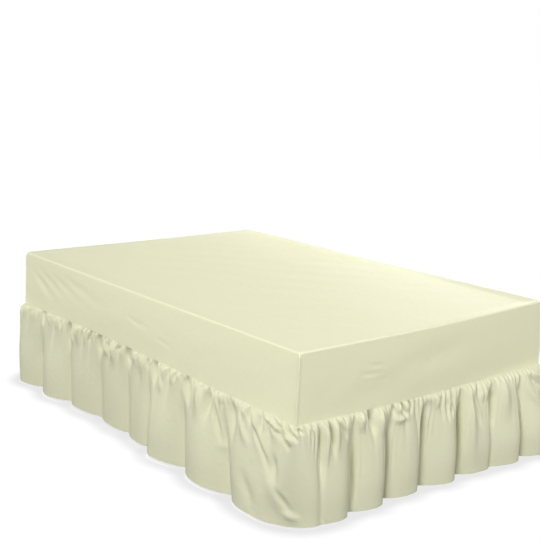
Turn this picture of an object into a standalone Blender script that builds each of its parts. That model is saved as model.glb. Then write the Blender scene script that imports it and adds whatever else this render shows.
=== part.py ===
"""Bed skirt on a divan bed: a fitted cover over the mattress, with a gathered frill sewn round the
lower edge of its walls and hanging to the floor in uneven folds.

Metres, +Z up. The origin is on the floor under the middle of the bed, the head of the bed is at +Y.
Run with: blender --background --python part.py
"""

import math
from collections import namedtuple

import bmesh
import bpy
from mathutils import Vector

# ---------------------------------------------------------------- driving dimensions
BED_WIDTH = 1.350
BED_LENGTH = 1.900
TOP_HEIGHT = 0.620          # floor to the top of the cover
WALL_DROP = 0.252           # depth of the cover's walls, from the top to the frill's seam
HEM_HEIGHT = 0.003          # the hem hangs just clear of the floor
CLOTH = 0.0016              # thickness of the cloth, the same in the cover and the frill
TOUCH = 0.0003              # gap between pieces that touch
FOOT_HEIGHT = 0.050

SEAM_HEIGHT = TOP_HEIGHT - WALL_DROP
FRILL_DROP = SEAM_HEIGHT - TOUCH - HEM_HEIGHT

# The four sides of the bed, in order round the loop: left, foot, right and head. Each has the way
# that it runs, the way that it faces, its half length and how far its wall is from the middle.
Side = namedtuple("Side", "along facing half reach")
SIDES = (
    Side(Vector((0, -1, 0)), Vector((-1, 0, 0)), BED_LENGTH / 2, BED_WIDTH / 2),
    Side(Vector((1, 0, 0)), Vector((0, -1, 0)), BED_WIDTH / 2, BED_LENGTH / 2),
    Side(Vector((0, 1, 0)), Vector((1, 0, 0)), BED_LENGTH / 2, BED_WIDTH / 2),
    Side(Vector((-1, 0, 0)), Vector((0, 1, 0)), BED_WIDTH / 2, BED_LENGTH / 2),
)

# How the cover sits on each side: how far its wall bows out in plan, how far its top edge dips
# between the corners, and how far its seam rides up, most at a share of the way along the side.
Sit = namedtuple("Sit", "bow dip lift lift_at")
SITS = (
    Sit(0.001, 0.001, 0.010, 0.32),
    Sit(0.010, 0.004, -0.007, 0.35),
    Sit(0.004, 0.004, 0.005, 0.60),
    Sit(0.005, 0.003, 0.003, 0.45),
)

# What differs from corner to corner, from the one at the start of the left side on round the bed:
# how much higher the top edge and the seam sit there, and how far the seam leans towards +X.
TOP_CORNERS = (-0.008, 0.000, 0.010, -0.002)
SEAM_CORNERS = (0.001, 0.003, -0.009, 0.000)
SEAM_LEANS = (-0.003, 0.000, 0.019, 0.004)

# ---------------------------------------------------------------- the cover
COVER_CORNER = 0.010        # corner radius in plan
COVER_EDGE = 0.010          # radius of the edge between the top and the walls
COVER_STEP = 0.090          # the cover has a column of points about this often
CORNER_STEPS = 2            # each side takes half of each corner, in this many steps
EDGE_STEPS = 3
WALL_ROWS = (0.0, 0.045, 0.105, 0.170)      # heights over the seam
TOP_ROWS = (0.030, 0.058)   # distances in from the walls, where the top flattens out
WALL_SWELL = 0.004          # the walls swell this much at mid height

# Soft troughs where the wall is dragged: the side, where it starts and ends along the side,
# its heights over the seam there, its depth and its width.
Drag = namedtuple("Drag", "side start end start_height end_height depth width")
DRAGS = (
    Drag(0, 0.06, 0.48, 0.230, 0.030, 0.0045, 0.060),
    Drag(0, 0.24, 0.80, 0.240, 0.060, 0.0035, 0.055),
    Drag(0, 0.95, 1.45, 0.200, 0.070, 0.0030, 0.050),
    Drag(1, 0.42, 0.95, 0.120, 0.170, 0.0035, 0.045),
    Drag(1, 0.20, 0.60, 0.060, 0.085, 0.0025, 0.040),
    Drag(2, 0.30, 0.80, 0.200, 0.060, 0.0035, 0.055),
    Drag(2, 1.15, 1.70, 0.060, 0.210, 0.0040, 0.060),
    Drag(3, 0.35, 0.95, 0.150, 0.090, 0.0035, 0.055),
)

# ---------------------------------------------------------------- the frill
HEM_CORNERS = (0.060, 0.125, 0.090, 0.070)     # the hem swings round each corner in this radius
CORNER_PUFFS = (0.014, 0.0, 0.0, 0.0)   # how far the cloth puffs out further at each corner
PUFF_REACH = 0.120          # how far along the sides that goes
PUFF = 0.40                 # share of the folds' depth reached close under the seam
PUFF_LENGTH = 0.014         # fall over which the cloth puffs out there
FLARE_LENGTH = 0.300        # fall over which it flares to its full depth
FOLD_LENGTHS = (0.190, 0.110, 0.060, 0.130)     # fall over which the folds part, at each corner
SPREAD = 0.34               # how much wider the crests are than the valleys
CREST_POWER = 0.60          # under 1 for round crests
COLUMNS_PER_FOLD = 12
GATHERS_PER_FOLD = 3
GATHER_DEPTH = 0.006
GATHER_LENGTH = 0.026       # the gathers are deepest at this fall
FALLS = (0.0, 0.012, 0.035, 0.080, 0.150, 0.240, FRILL_DROP)

# Each row is one fold: how far its crest is along the side at the seam, how far the crest and the
# valley after it stand out at the hem, and how far the fold drifts along the side as it falls.
Fold = namedtuple("Fold", "at crest valley lean")
LEFT_FOLDS = (
    Fold(0.030, 0.048, 0.002, 0.01),
    Fold(0.290, 0.052, 0.000, 0.02),
    Fold(0.530, 0.024, -0.006, 0.01),
    Fold(0.790, 0.016, -0.006, 0.01),
    Fold(0.965, 0.020, 0.006, 0.01),
    Fold(1.125, 0.056, 0.004, 0.01),
    Fold(1.402, 0.056, 0.006, 0.04),
    Fold(1.630, 0.052, 0.044, 0.08),
)
FOOT_FOLDS = (
    Fold(0.015, 0.050, 0.042, 0.04),
    Fold(0.170, 0.054, 0.016, 0.01),
    Fold(0.360, 0.052, 0.004, 0.00),
    Fold(0.540, 0.044, 0.000, 0.00),
    Fold(0.738, 0.060, 0.008, 0.01),
    Fold(0.922, 0.062, 0.052, 0.00),
    Fold(1.113, 0.090, 0.046, 0.00),
    Fold(1.270, 0.106, 0.098, 0.02),
)
RIGHT_FOLDS = (
    Fold(0.095, 0.048, 0.014, -0.02),
    Fold(0.315, 0.046, 0.004, -0.01),
    Fold(0.530, 0.050, 0.002, 0.01),
    Fold(0.735, 0.052, 0.010, 0.00),
    Fold(0.930, 0.060, 0.001, 0.02),
    Fold(1.180, 0.054, 0.006, 0.00),
    Fold(1.390, 0.050, 0.012, -0.01),
    Fold(1.590, 0.060, 0.006, 0.01),
    Fold(1.800, 0.054, 0.036, 0.02),
)
HEAD_FOLDS = (
    Fold(0.090, 0.064, 0.018, 0.02),
    Fold(0.290, 0.070, 0.006, 0.00),
    Fold(0.500, 0.084, 0.010, -0.01),
    Fold(0.680, 0.062, 0.004, 0.01),
    Fold(0.890, 0.088, 0.008, 0.00),
    Fold(1.090, 0.064, 0.010, -0.01),
    Fold(1.270, 0.056, 0.034, 0.02),
)
SIDE_FOLDS = (LEFT_FOLDS, FOOT_FOLDS, RIGHT_FOLDS, HEAD_FOLDS)

# ---------------------------------------------------------------- mattress, base and feet
MATTRESS_INSET = 0.011      # the cover's walls hang clear of the mattress
MATTRESS_CORNER = 0.050
MATTRESS_EDGE = 0.080
BASE_INSET = 0.012          # the base is this much narrower than the bed on each side
BASE_CORNER = 0.080
BASE_EDGE = 0.010
ROUND_STEPS = 4             # steps in a rounded edge
FOOT_INSET = 0.130
FOOT_RADIUS = 0.032
FOOT_TAPER = 0.80
FOOT_COLUMNS = 2
FOOT_ROWS = 3
FOOT_SIDES = 16

# ---------------------------------------------------------------- materials
Finish = namedtuple("Finish", "name colour roughness")
COTTON = Finish("cotton", (0.80, 0.79, 0.58), 0.85)
TICKING = Finish("ticking", (0.78, 0.77, 0.74), 0.90)
BASE_CLOTH = Finish("base_cloth", (0.62, 0.60, 0.56), 0.90)
FOOT_PLASTIC = Finish("foot_plastic", (0.05, 0.05, 0.05), 0.45)


def smooth(x):
    """Eases from 0 to 1 as x goes from 0 to 1."""
    x = min(1.0, max(0.0, x))
    return x * x * (3.0 - 2.0 * x)


def blend(a, b, share):
    return a + (b - a) * share


def arch(share, top=0.5):
    """Rises from 0 to 1 where share is top, and falls back to 0 where share is 1."""
    warped = 0.5 * share / top if share < top else 1.0 - 0.5 * (1.0 - share) / (1.0 - top)
    return math.sin(math.pi * warped) ** 2


# ---------------------------------------------------------------- the outline of the bed
def loop_point(side, run, corner):
    """The point on the bed's outline, and the way it faces there, at run metres from the middle
    of a side. The outline's corners are rounded by corner."""
    start = side.half - corner
    sign = math.copysign(1.0, run)
    angle = math.radians(45) * max(0.0, abs(run) - start) / corner
    x = sign * (start + corner * math.sin(angle)) if angle > 0 else run
    y = -corner * (1.0 - math.cos(angle))
    facing = side.along * (sign * math.sin(angle)) + side.facing * math.cos(angle)
    return side.along * x + side.facing * (side.reach + y), facing


def split_place(place):
    """A place round the loop, such as 1.5 for half way along the second side, as the side's
    index and the share of the way along it."""
    index = math.floor(place)
    return index % len(SIDES), place - index


def bow_at(index, share):
    return SITS[index].bow * math.sin(math.pi * share)


def between(corners, index, share):
    """Goes evenly from the value of the corner before this place to that of the one after it."""
    return blend(corners[index], corners[(index + 1) % len(corners)], share)


def seam_lift(index, share):
    lift = SITS[index].lift * arch(share, SITS[index].lift_at)
    return lift + between(SEAM_CORNERS, index, share)


# ---------------------------------------------------------------- Blender helpers
def clear_scene():
    for obj in list(bpy.data.objects):
        bpy.data.objects.remove(obj, do_unlink=True)


def make_material(finish):
    material = bpy.data.materials.new(finish.name)
    material.use_nodes = True
    shader = material.node_tree.nodes["Principled BSDF"]
    shader.inputs["Base Color"].default_value = (*finish.colour, 1.0)
    shader.inputs["Roughness"].default_value = finish.roughness
    return material


def add_object(name, bm, material, collection):
    """Makes an object of this mesh, with its faces pointing out."""
    bmesh.ops.recalc_face_normals(bm, faces=bm.faces)
    mesh = bpy.data.meshes.new(name)
    bm.to_mesh(mesh)
    bm.free()
    mesh.materials.append(material)
    obj = bpy.data.objects.new(name, mesh)
    collection.objects.link(obj)
    return obj


def ring_sheet(columns, rows, place_point):
    """A grid bent into a closed ring, whose points go where place_point(column, row) says."""
    bm = bmesh.new()
    bmesh.ops.create_grid(bm, x_segments=columns, y_segments=rows - 1, size=1.0)
    for vert in bm.verts:
        column = round((vert.co.x + 1) / 2 * columns) % columns
        row = round((vert.co.y + 1) / 2 * (rows - 1))
        vert.co = place_point(column, row)
    bmesh.ops.remove_doubles(bm, verts=bm.verts, dist=1e-6)
    return bm


def give_thickness(obj):
    """Thickens a sheet of cloth, away from the way that its faces point."""
    shell = obj.modifiers.new("Thickness", "SOLIDIFY")
    shell.thickness = CLOTH
    shell.offset = -1.0


# ---------------------------------------------------------------- the cover
def drag_depth(index, along, height):
    """How far the wall of a side is drawn in by the drags at this place."""
    depth = 0.0
    for drag in DRAGS:
        share = (along - drag.start) / (drag.end - drag.start)
        if drag.side == index and 0.0 < share < 1.0:
            off = height - blend(drag.start_height, drag.end_height, share)
            depth += drag.depth * arch(share) * math.exp(-((off / drag.width) ** 2))
    return depth


def cover_rows():
    """The rows up the walls and over the edge, as (height over the seam, distance in)."""
    rows = [(height, 0.0) for height in WALL_ROWS]
    for step in range(EDGE_STEPS + 1):
        angle = math.radians(90) * step / EDGE_STEPS
        height = WALL_DROP - COVER_EDGE * (1 - math.sin(angle))
        rows.append((height, COVER_EDGE * (1 - math.cos(angle))))
    return rows + [(WALL_DROP, distance) for distance in TOP_ROWS]


def cover_columns():
    """The columns round the cover, as (index of the side, distance from the side's middle)."""
    columns = []
    for index, side in enumerate(SIDES):
        start = side.half - COVER_CORNER
        for step in range(CORNER_STEPS):
            columns.append((index, -side.half + COVER_CORNER * step / CORNER_STEPS))
        count = round(2 * start / COVER_STEP)
        columns += [(index, start * (2 * step / count - 1)) for step in range(count)]
        for step in range(CORNER_STEPS):
            columns.append((index, start + COVER_CORNER * step / CORNER_STEPS))
    return columns


def cover_point(index, run, height, inward):
    """A point of the cover, at run metres from the middle of a side, this high over the seam and
    this far in from the wall."""
    side = SIDES[index]
    share = 0.5 + run / (2 * side.half)
    corner = max(COVER_CORNER, inward)
    point, facing = loop_point(side, run, corner)
    up = height / WALL_DROP
    on_wall = math.sin(math.pi * min(1.0, up))
    wall = WALL_SWELL * math.sin(math.pi * share) ** 0.5 - drag_depth(index, run + side.half, height)
    settle = 1.0 - smooth(inward / TOP_ROWS[-1])
    point = point + facing * (wall * on_wall + bow_at(index, share) * settle - inward)
    sag = SITS[index].dip * arch(share) - between(TOP_CORNERS, index, share)
    dip = sag * settle * smooth(2 * up - 1)
    lift = seam_lift(index, share) * (1.0 - up)
    lean = between(SEAM_LEANS, index, share) * (1.0 - up)
    return Vector((point.x + lean, point.y, SEAM_HEIGHT + height + lift - dip))


def make_cover(material, collection):
    columns, rows = cover_columns(), cover_rows()
    bm = ring_sheet(len(columns), len(rows), lambda column, row: cover_point(*columns[column], *rows[row]))
    top = [e for e in bm.edges if e.is_boundary and e.verts[0].co.z > SEAM_HEIGHT + WALL_DROP / 2]
    bmesh.ops.contextual_create(bm, geom=top)
    give_thickness(add_object("fitted_cover", bm, material, collection))


# ---------------------------------------------------------------- the frill
def crests_at(fall):
    """Each fold with its crest's place round the loop at this fall."""
    down = fall / FRILL_DROP
    crests = []
    for index, folds in enumerate(SIDE_FOLDS):
        length = 2 * SIDES[index].half
        crests += [(index + (fold.at + fold.lean * down) / length, fold) for fold in folds]
    return crests


def middles(crests):
    """How far out the middle of the cloth is under each crest, between the crest and the valleys
    on both sides of it."""
    folds = [fold for _, fold in crests]
    return [fold.crest / 2 + (folds[i - 1].valley + fold.valley) / 4 for i, fold in enumerate(folds)]


def fold_outward(fold, next_fold, middle, share, fall, fold_length):
    """How far the frill stands out from the wall, at this share of the way from one crest to the
    next: it puffs and flares out under the seam, and parts into crests and valleys."""
    wave = (0.5 + 0.5 * math.cos(2 * math.pi * share)) ** CREST_POWER
    crest = blend(fold.crest, next_fold.crest, share)
    swell = PUFF * (1.0 - math.exp(-fall / PUFF_LENGTH)) + (1.0 - PUFF) * smooth(fall / FLARE_LENGTH)
    parted = smooth(fall / fold_length)
    pleat = 0.5 + 0.5 * math.cos(2 * math.pi * GATHERS_PER_FOLD * share)
    fade = fall / GATHER_LENGTH * math.exp(1.0 - fall / GATHER_LENGTH)
    return swell * blend(middle, blend(fold.valley, crest, wave), parted) + GATHER_DEPTH * pleat * fade


def corner_puff(index, along, fall):
    """How much further the frill puffs out near a corner, at this share of the way along a side."""
    corner = round(index + along) % len(SIDES)
    off = 2 * SIDES[index].half * min(along, 1.0 - along)
    puffed = (1.0 - math.exp(-fall / PUFF_LENGTH)) * (1.0 - smooth(fall / FLARE_LENGTH))
    return CORNER_PUFFS[corner] * math.exp(-((off / PUFF_REACH) ** 2)) * puffed


def frill_point(crests, fold_index, share, fall):
    """A point of the frill, at this share of the way from one crest to the next."""
    after = (fold_index + 1) % len(crests)
    here, fold = crests[fold_index]
    there, next_fold = crests[after]
    if there < here:
        there += len(SIDES)
    swing = SPREAD * math.sin(2 * math.pi * share) / (2 * math.pi)
    index, along = split_place(blend(here, there, share + swing))

    hem_corner = HEM_CORNERS[round(index + along) % len(SIDES)]
    corner = blend(COVER_CORNER, hem_corner, smooth(fall / FRILL_DROP))
    run = (2 * along - 1) * SIDES[index].half
    point, facing = loop_point(SIDES[index], run, corner)
    under = middles(crests)
    middle = blend(under[fold_index], under[after], share)
    fold_length = between(FOLD_LENGTHS, index, along)
    outward = fold_outward(fold, next_fold, middle, share, fall, fold_length)
    outward += corner_puff(index, along, fall)
    point = point + facing * (outward + bow_at(index, along))
    lift = seam_lift(index, along)
    height = SEAM_HEIGHT + lift - TOUCH - fall - min(lift, 0.0) * fall / FRILL_DROP
    return Vector((point.x + between(SEAM_LEANS, index, along), point.y, height))


def make_frill(material, collection):
    crests = [crests_at(fall) for fall in FALLS]

    def place_point(column, row):
        fold_index, step = divmod(column, COLUMNS_PER_FOLD)
        return frill_point(crests[row], fold_index, step / COLUMNS_PER_FOLD, FALLS[row])

    bm = ring_sheet(len(crests[0]) * COLUMNS_PER_FOLD, len(FALLS), place_point)
    give_thickness(add_object("frill", bm, material, collection))


# ---------------------------------------------------------------- mattress, base and feet
def rounded_block(width, length, bottom, top, corner, edge):
    """A block whose upright edges are rounded by corner and the others by edge."""
    bm = bmesh.new()
    bmesh.ops.create_cube(bm, size=1.0)
    for vert in bm.verts:
        vert.co = Vector((vert.co.x * width, vert.co.y * length, top if vert.co.z > 0 else bottom))
    upright = [e for e in bm.edges if abs(e.verts[0].co.z - e.verts[1].co.z) > 1e-6]
    bmesh.ops.bevel(bm, geom=upright, offset=corner, segments=ROUND_STEPS, profile=0.5, affect="EDGES")
    bm.normal_update()
    rims = [e for e in bm.edges if abs(e.link_faces[0].normal.z) + abs(e.link_faces[1].normal.z) > 0.9]
    bmesh.ops.bevel(bm, geom=rims, offset=edge, segments=ROUND_STEPS, profile=0.5, affect="EDGES")
    return bm


def make_mattress(material, collection):
    bm = rounded_block(
        BED_WIDTH - 2 * MATTRESS_INSET, BED_LENGTH - 2 * MATTRESS_INSET,
        SEAM_HEIGHT + TOUCH, TOP_HEIGHT - CLOTH - TOUCH,
        MATTRESS_CORNER, MATTRESS_EDGE,
    )
    add_object("mattress", bm, material, collection)


def make_base(material, collection):
    bm = rounded_block(
        BED_WIDTH - 2 * BASE_INSET, BED_LENGTH - 2 * BASE_INSET,
        FOOT_HEIGHT, SEAM_HEIGHT,
        BASE_CORNER, BASE_EDGE,
    )
    add_object("divan_base", bm, material, collection)


def make_feet(material, collection):
    """Six turned feet, in two columns and three rows under the base."""
    height = FOOT_HEIGHT - TOUCH
    for row in range(FOOT_ROWS):
        for column in range(FOOT_COLUMNS):
            bm = bmesh.new()
            bmesh.ops.create_cone(
                bm, cap_ends=True, segments=FOOT_SIDES,
                radius1=FOOT_RADIUS * FOOT_TAPER, radius2=FOOT_RADIUS, depth=height,
            )
            foot = add_object(f"foot_{row * FOOT_COLUMNS + column + 1}", bm, material, collection)
            foot.location = (
                (2 * column / (FOOT_COLUMNS - 1) - 1) * (BED_WIDTH / 2 - FOOT_INSET),
                (2 * row / (FOOT_ROWS - 1) - 1) * (BED_LENGTH / 2 - FOOT_INSET),
                height / 2,
            )


def main():
    clear_scene()
    collection = bpy.data.collections.new("bed_skirt_on_bed")
    bpy.context.scene.collection.children.link(collection)
    cotton = make_material(COTTON)
    make_cover(cotton, collection)
    make_frill(cotton, collection)
    make_mattress(make_material(TICKING), collection)
    make_base(make_material(BASE_CLOTH), collection)
    make_feet(make_material(FOOT_PLASTIC), collection)


main()
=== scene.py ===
"""Bed skirt on a divan bed: the finished cloth of the fitted cover and of its gathered frill, the
finishes of the mattress, base and feet that they hide, and the studio that the bed stands in.

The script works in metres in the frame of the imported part: the origin is on the floor under the
middle of the bed, +Z is up and the head of the bed is at +Y.
"""

import logging
import math
from dataclasses import dataclass
from enum import Enum

import bpy
import numpy as np
from mathutils import Matrix, Vector


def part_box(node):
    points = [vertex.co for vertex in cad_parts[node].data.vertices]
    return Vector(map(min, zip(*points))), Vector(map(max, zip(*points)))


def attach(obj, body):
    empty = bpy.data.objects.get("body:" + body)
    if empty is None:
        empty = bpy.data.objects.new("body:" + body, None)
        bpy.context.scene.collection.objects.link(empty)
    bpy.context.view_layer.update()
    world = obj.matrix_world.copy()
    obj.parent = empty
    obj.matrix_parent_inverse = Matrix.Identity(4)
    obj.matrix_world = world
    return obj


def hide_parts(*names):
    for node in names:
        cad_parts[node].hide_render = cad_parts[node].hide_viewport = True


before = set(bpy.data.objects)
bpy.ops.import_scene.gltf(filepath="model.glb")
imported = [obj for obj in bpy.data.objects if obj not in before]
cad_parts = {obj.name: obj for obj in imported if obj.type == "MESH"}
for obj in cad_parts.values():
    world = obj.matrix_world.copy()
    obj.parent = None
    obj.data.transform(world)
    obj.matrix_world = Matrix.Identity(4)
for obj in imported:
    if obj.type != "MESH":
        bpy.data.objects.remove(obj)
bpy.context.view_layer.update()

COVER_REST = 0.0019  # from the mattress's top to the cover's face
TURN = 2.0 * math.pi
TINY = 1e-9
LOG = logging.getLogger("bed_skirt")


# ---------------------------------------------------------------- shared arithmetic
def smooth(x: np.ndarray) -> np.ndarray:
    """Eases from 0 to 1 as x goes from 0 to 1.

    Args:
        x: The values to ease.

    Returns:
        The eased values, held at 0 and 1 outside that range.
    """
    x = np.clip(x, 0.0, 1.0)
    return x * x * (3.0 - 2.0 * x)


def blend(a: np.ndarray, b: np.ndarray, share: np.ndarray) -> np.ndarray:
    """Goes from a to b as share goes from 0 to 1.

    Args:
        a: The values where share is 0.
        b: The values where share is 1.
        share: How far to go from a to b.

    Returns:
        The values in between.
    """
    return a + (b - a) * share


def arch(share: np.ndarray, top: np.ndarray = 0.5) -> np.ndarray:
    """Rises from 0 to 1 where share is top, and falls back to 0 where share is 1.

    Args:
        share: Where to read the arch, from 0 to 1.
        top: Where the arch is highest.

    Returns:
        The height of the arch.
    """
    share = np.clip(share, 0.0, 1.0)
    warped = np.where(share < top, 0.5 * share / top, 1.0 - 0.5 * (1.0 - share) / (1.0 - top))
    return np.sin(np.pi * warped) ** 2


def ripples(
    x: np.ndarray, y: np.ndarray, height: float, wavelengths: tuple[float, float], seed: int
) -> np.ndarray:
    """A smooth, uneven surface: the sum of a few waves that run every way.

    Args:
        x: Places along the surface, in metres.
        y: Places across the surface, in metres.
        height: The usual height of the ripples, in metres.
        wavelengths: The shortest and the longest wavelength, in metres.
        seed: Which surface of this kind it is.

    Returns:
        The height at each place, in metres.
    """
    waves = 14
    random = np.random.default_rng(seed)
    total = np.zeros(np.broadcast(x, y).shape)
    for _ in range(waves):
        angle, phase = random.uniform(0.0, TURN, 2)
        wavelength = random.uniform(*wavelengths)
        total += np.sin(TURN * (x * math.cos(angle) + y * math.sin(angle)) / wavelength + phase)
    return height * total / math.sqrt(waves)


@dataclass(frozen=True)
class Crease:
    """A soft ridge in a cloth, or a trough where its height is negative.

    Its ends are places on the cloth in metres, and its width goes from width to end_width
    between them. It is highest at the share peak of the way along. Its middle stands off the
    straight line by bend, and skew makes the flank on its far side steeper.
    """

    start: tuple[float, float]
    end: tuple[float, float]
    height: float
    width: float
    end_width: float
    peak: float = 0.5
    bend: float = 0.0
    skew: float = 0.0


def crease_height(x: np.ndarray, y: np.ndarray, creases: tuple[Crease, ...]) -> np.ndarray:
    """How far a set of creases raises a surface.

    Args:
        x: Places along the surface, in metres.
        y: Places across the surface, in metres.
        creases: The creases that lie on the surface.

    Returns:
        The height at each place, in metres, negative in a trough.
    """
    total = np.zeros(np.broadcast(x, y).shape)
    for crease in creases:
        (x0, y0), (x1, y1) = crease.start, crease.end
        length = math.hypot(x1 - x0, y1 - y0)
        along = ((x - x0) * (x1 - x0) + (y - y0) * (y1 - y0)) / length**2
        across = ((x - x0) * (y1 - y0) - (y - y0) * (x1 - x0)) / length
        across = across - crease.bend * 4.0 * along * (1.0 - along)
        width = blend(crease.width, crease.end_width, np.clip(along, 0.0, 1.0))
        width = width * (1.0 - crease.skew * np.sign(across))
        total += crease.height * arch(along, crease.peak) * np.exp(-((across / width) ** 2))
    return total


def smear_shares(reach: float, count: int, spacing: float) -> np.ndarray:
    """How much of each wave round a ring is left when its values are smeared.

    Args:
        reach: How far each value is smeared, in metres.
        count: The number of values round the ring.
        spacing: How far apart they are, in metres.

    Returns:
        The share of each wave that is left.
    """
    return np.exp(-2.0 * (np.pi * reach * np.fft.rfftfreq(count, spacing)) ** 2)


def keep_waves(values: np.ndarray, shares: np.ndarray) -> np.ndarray:
    """Keeps only these shares of the waves round a ring, whose values run along axis 1."""
    return np.fft.irfft(np.fft.rfft(values, axis=1) * shares, n=values.shape[1], axis=1)


# ---------------------------------------------------------------- the bed's outline
class Wall(Enum):
    """The sides of the bed, in the order in which the frill goes round them."""

    LEFT = 0
    FOOT = 1
    RIGHT = 2
    HEAD = 3


@dataclass(frozen=True)
class Sit:
    """How the cover sits on one side of the bed, in metres.

    The wall bows out in plan, the top edge dips between the corners, and the seam rides up, most
    at the share lift_at of the way along the side.
    """

    bow: float
    dip: float
    lift: float
    lift_at: float


@dataclass(frozen=True)
class BedOutline:
    """The rounded rectangle that the cover's walls and the frill follow.

    A place round the bed is a number from 0 to 4: its whole part is the side, in the order of
    Wall, and the rest is the share of the way along that side. The cover sits higher or lower at
    each corner, and its seam leans across the bed there, from the corner at the start of the left
    side round to the one at the start of the head.
    """

    width: float = 1.350
    length: float = 1.900
    sits: tuple[Sit, ...] = (
        Sit(0.001, 0.001, 0.010, 0.32),
        Sit(0.010, 0.004, -0.007, 0.35),
        Sit(0.004, 0.004, 0.005, 0.60),
        Sit(0.005, 0.003, 0.003, 0.45),
    )
    top_corners: tuple[float, ...] = (-0.008, 0.000, 0.010, -0.002)
    seam_corners: tuple[float, ...] = (0.001, 0.003, -0.009, 0.000)
    seam_leans: tuple[float, ...] = (-0.003, 0.000, 0.019, 0.004)

    def sides(self) -> tuple[np.ndarray, np.ndarray, np.ndarray, np.ndarray]:
        """The four sides of the bed.

        Returns:
            The way that each side runs, the way that it faces, half its length, and how far its
            wall is from the middle of the bed.
        """
        along = np.array(((0, -1), (1, 0), (0, 1), (-1, 0)), float)
        facing = np.array(((-1, 0), (0, -1), (1, 0), (0, 1)), float)
        half = np.array((self.length, self.width, self.length, self.width)) / 2
        reach = np.array((self.width, self.length, self.width, self.length)) / 2
        return along, facing, half, reach

    def split(self, place: np.ndarray) -> tuple[np.ndarray, np.ndarray]:
        """Splits places round the bed.

        Args:
            place: Places round the bed.

        Returns:
            The index of each place's side, and the share of the way along it.
        """
        whole = np.floor(place)
        return whole.astype(int) % len(Wall), place - whole

    def at(self, place: np.ndarray, corner: np.ndarray) -> tuple[np.ndarray, np.ndarray]:
        """The points of the outline.

        Args:
            place: Places round the bed.
            corner: The radius of the outline's corners at those places.

        Returns:
            The points in plan, and the way that the outline faces at each.
        """
        index, share = self.split(place)
        along, facing, half, reach = (values[index] for values in self.sides())
        run = (2.0 * share - 1.0) * half
        start = half - corner
        angle = math.radians(45) * np.maximum(0.0, np.abs(run) - start) / corner
        sign = np.sign(run)
        x = np.where(angle > 0.0, sign * (start + corner * np.sin(angle)), run)
        y = reach - corner * (1.0 - np.cos(angle))
        point = along * x[..., None] + facing * y[..., None]
        out = along * (sign * np.sin(angle))[..., None] + facing * np.cos(angle)[..., None]
        return point, out

    def place_at(self, distance: np.ndarray) -> np.ndarray:
        """Turns distances round the bed into places.

        Args:
            distance: Metres round the bed from the start of the left side.

        Returns:
            The places round the bed.
        """
        half = self.sides()[2]
        ends = np.concatenate(([0.0], np.cumsum(2.0 * half)))
        laps = np.floor(distance / ends[-1])
        return np.interp(distance - laps * ends[-1], ends, np.arange(len(ends))) + laps * len(Wall)

    def distance_at(self, place: np.ndarray) -> np.ndarray:
        """Turns places into distances round the bed.

        Args:
            place: Places round the bed.

        Returns:
            Metres round the bed from the start of the left side.
        """
        half = self.sides()[2]
        ends = np.concatenate(([0.0], np.cumsum(2.0 * half)))
        laps = np.floor(place / len(Wall))
        return np.interp(place - laps * len(Wall), np.arange(len(ends)), ends) + laps * ends[-1]

    def bow(self, place: np.ndarray) -> np.ndarray:
        """How far the wall bows out at each place, in metres."""
        index, share = self.split(place)
        return np.array([sit.bow for sit in self.sits])[index] * np.sin(np.pi * share)

    def between(self, corners: tuple[float, ...], place: np.ndarray) -> np.ndarray:
        """Goes evenly from each corner's value to the next."""
        return np.interp(place % len(Wall), np.arange(len(Wall) + 1), corners + corners[:1])

    def dip(self, place: np.ndarray) -> np.ndarray:
        """How far the top edge dips.

        Args:
            place: Places round the bed.

        Returns:
            The distances down, in metres.
        """
        index, share = self.split(place)
        sag = np.array([sit.dip for sit in self.sits])[index] * arch(share)
        return sag - self.between(self.top_corners, place)

    def lift(self, place: np.ndarray) -> np.ndarray:
        """How far the seam rides up.

        Args:
            place: Places round the bed.

        Returns:
            The distances up, in metres.
        """
        index, share = self.split(place)
        highest = np.array([sit.lift_at for sit in self.sits])[index]
        lifted = np.array([sit.lift for sit in self.sits])[index] * arch(share, highest)
        return lifted + self.between(self.seam_corners, place)

    def lean(self, place: np.ndarray) -> np.ndarray:
        """How far the seam leans across the bed at each place, in metres."""
        return self.between(self.seam_leans, place)


# ---------------------------------------------------------------- meshes from arrays
@dataclass
class Sheet:
    """Points in rows and columns, with where each lies on the flat cloth."""

    name: str
    points: np.ndarray
    flat: np.ndarray

    def mesh(self) -> bpy.types.Mesh:
        """Makes the sheet a mesh of quads, with the flat cloth as its UV map.

        Returns:
            The mesh, shaded smooth.
        """
        rows, columns = self.points.shape[:2]
        index = np.arange(rows * columns).reshape(rows, columns)
        quads = np.stack(
            (index[:-1, :-1], index[1:, :-1], index[1:, 1:], index[:-1, 1:]), axis=-1
        ).reshape(-1, 4)
        return mesh_of(self.name, self.points.reshape(-1, 3), quads, self.flat.reshape(-1, 2))


def mesh_of(name: str, points: np.ndarray, quads: np.ndarray, flat: np.ndarray) -> bpy.types.Mesh:
    """Makes a smooth mesh of quads.

    Args:
        name: The mesh's name.
        points: Where its points are.
        quads: The indices of the four points of each face.
        flat: Where each point lies on the flat cloth, in metres.

    Returns:
        The mesh, with flat as its UV map.
    """
    mesh = bpy.data.meshes.new(name)
    mesh.vertices.add(len(points))
    mesh.vertices.foreach_set("co", points.astype(np.float32).ravel())
    mesh.loops.add(quads.size)
    mesh.loops.foreach_set("vertex_index", quads.astype(np.int32).ravel())
    mesh.polygons.add(len(quads))
    mesh.polygons.foreach_set("loop_start", np.arange(0, quads.size, 4, dtype=np.int32))
    mesh.update(calc_edges=True)
    mesh.validate()
    uv = mesh.uv_layers.new(name="flat")
    corners = np.zeros(len(mesh.loops), np.int32)
    mesh.loops.foreach_get("vertex_index", corners)
    uv.data.foreach_set("uv", flat[corners].astype(np.float32).ravel())
    mesh.shade_smooth()
    return mesh


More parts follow.
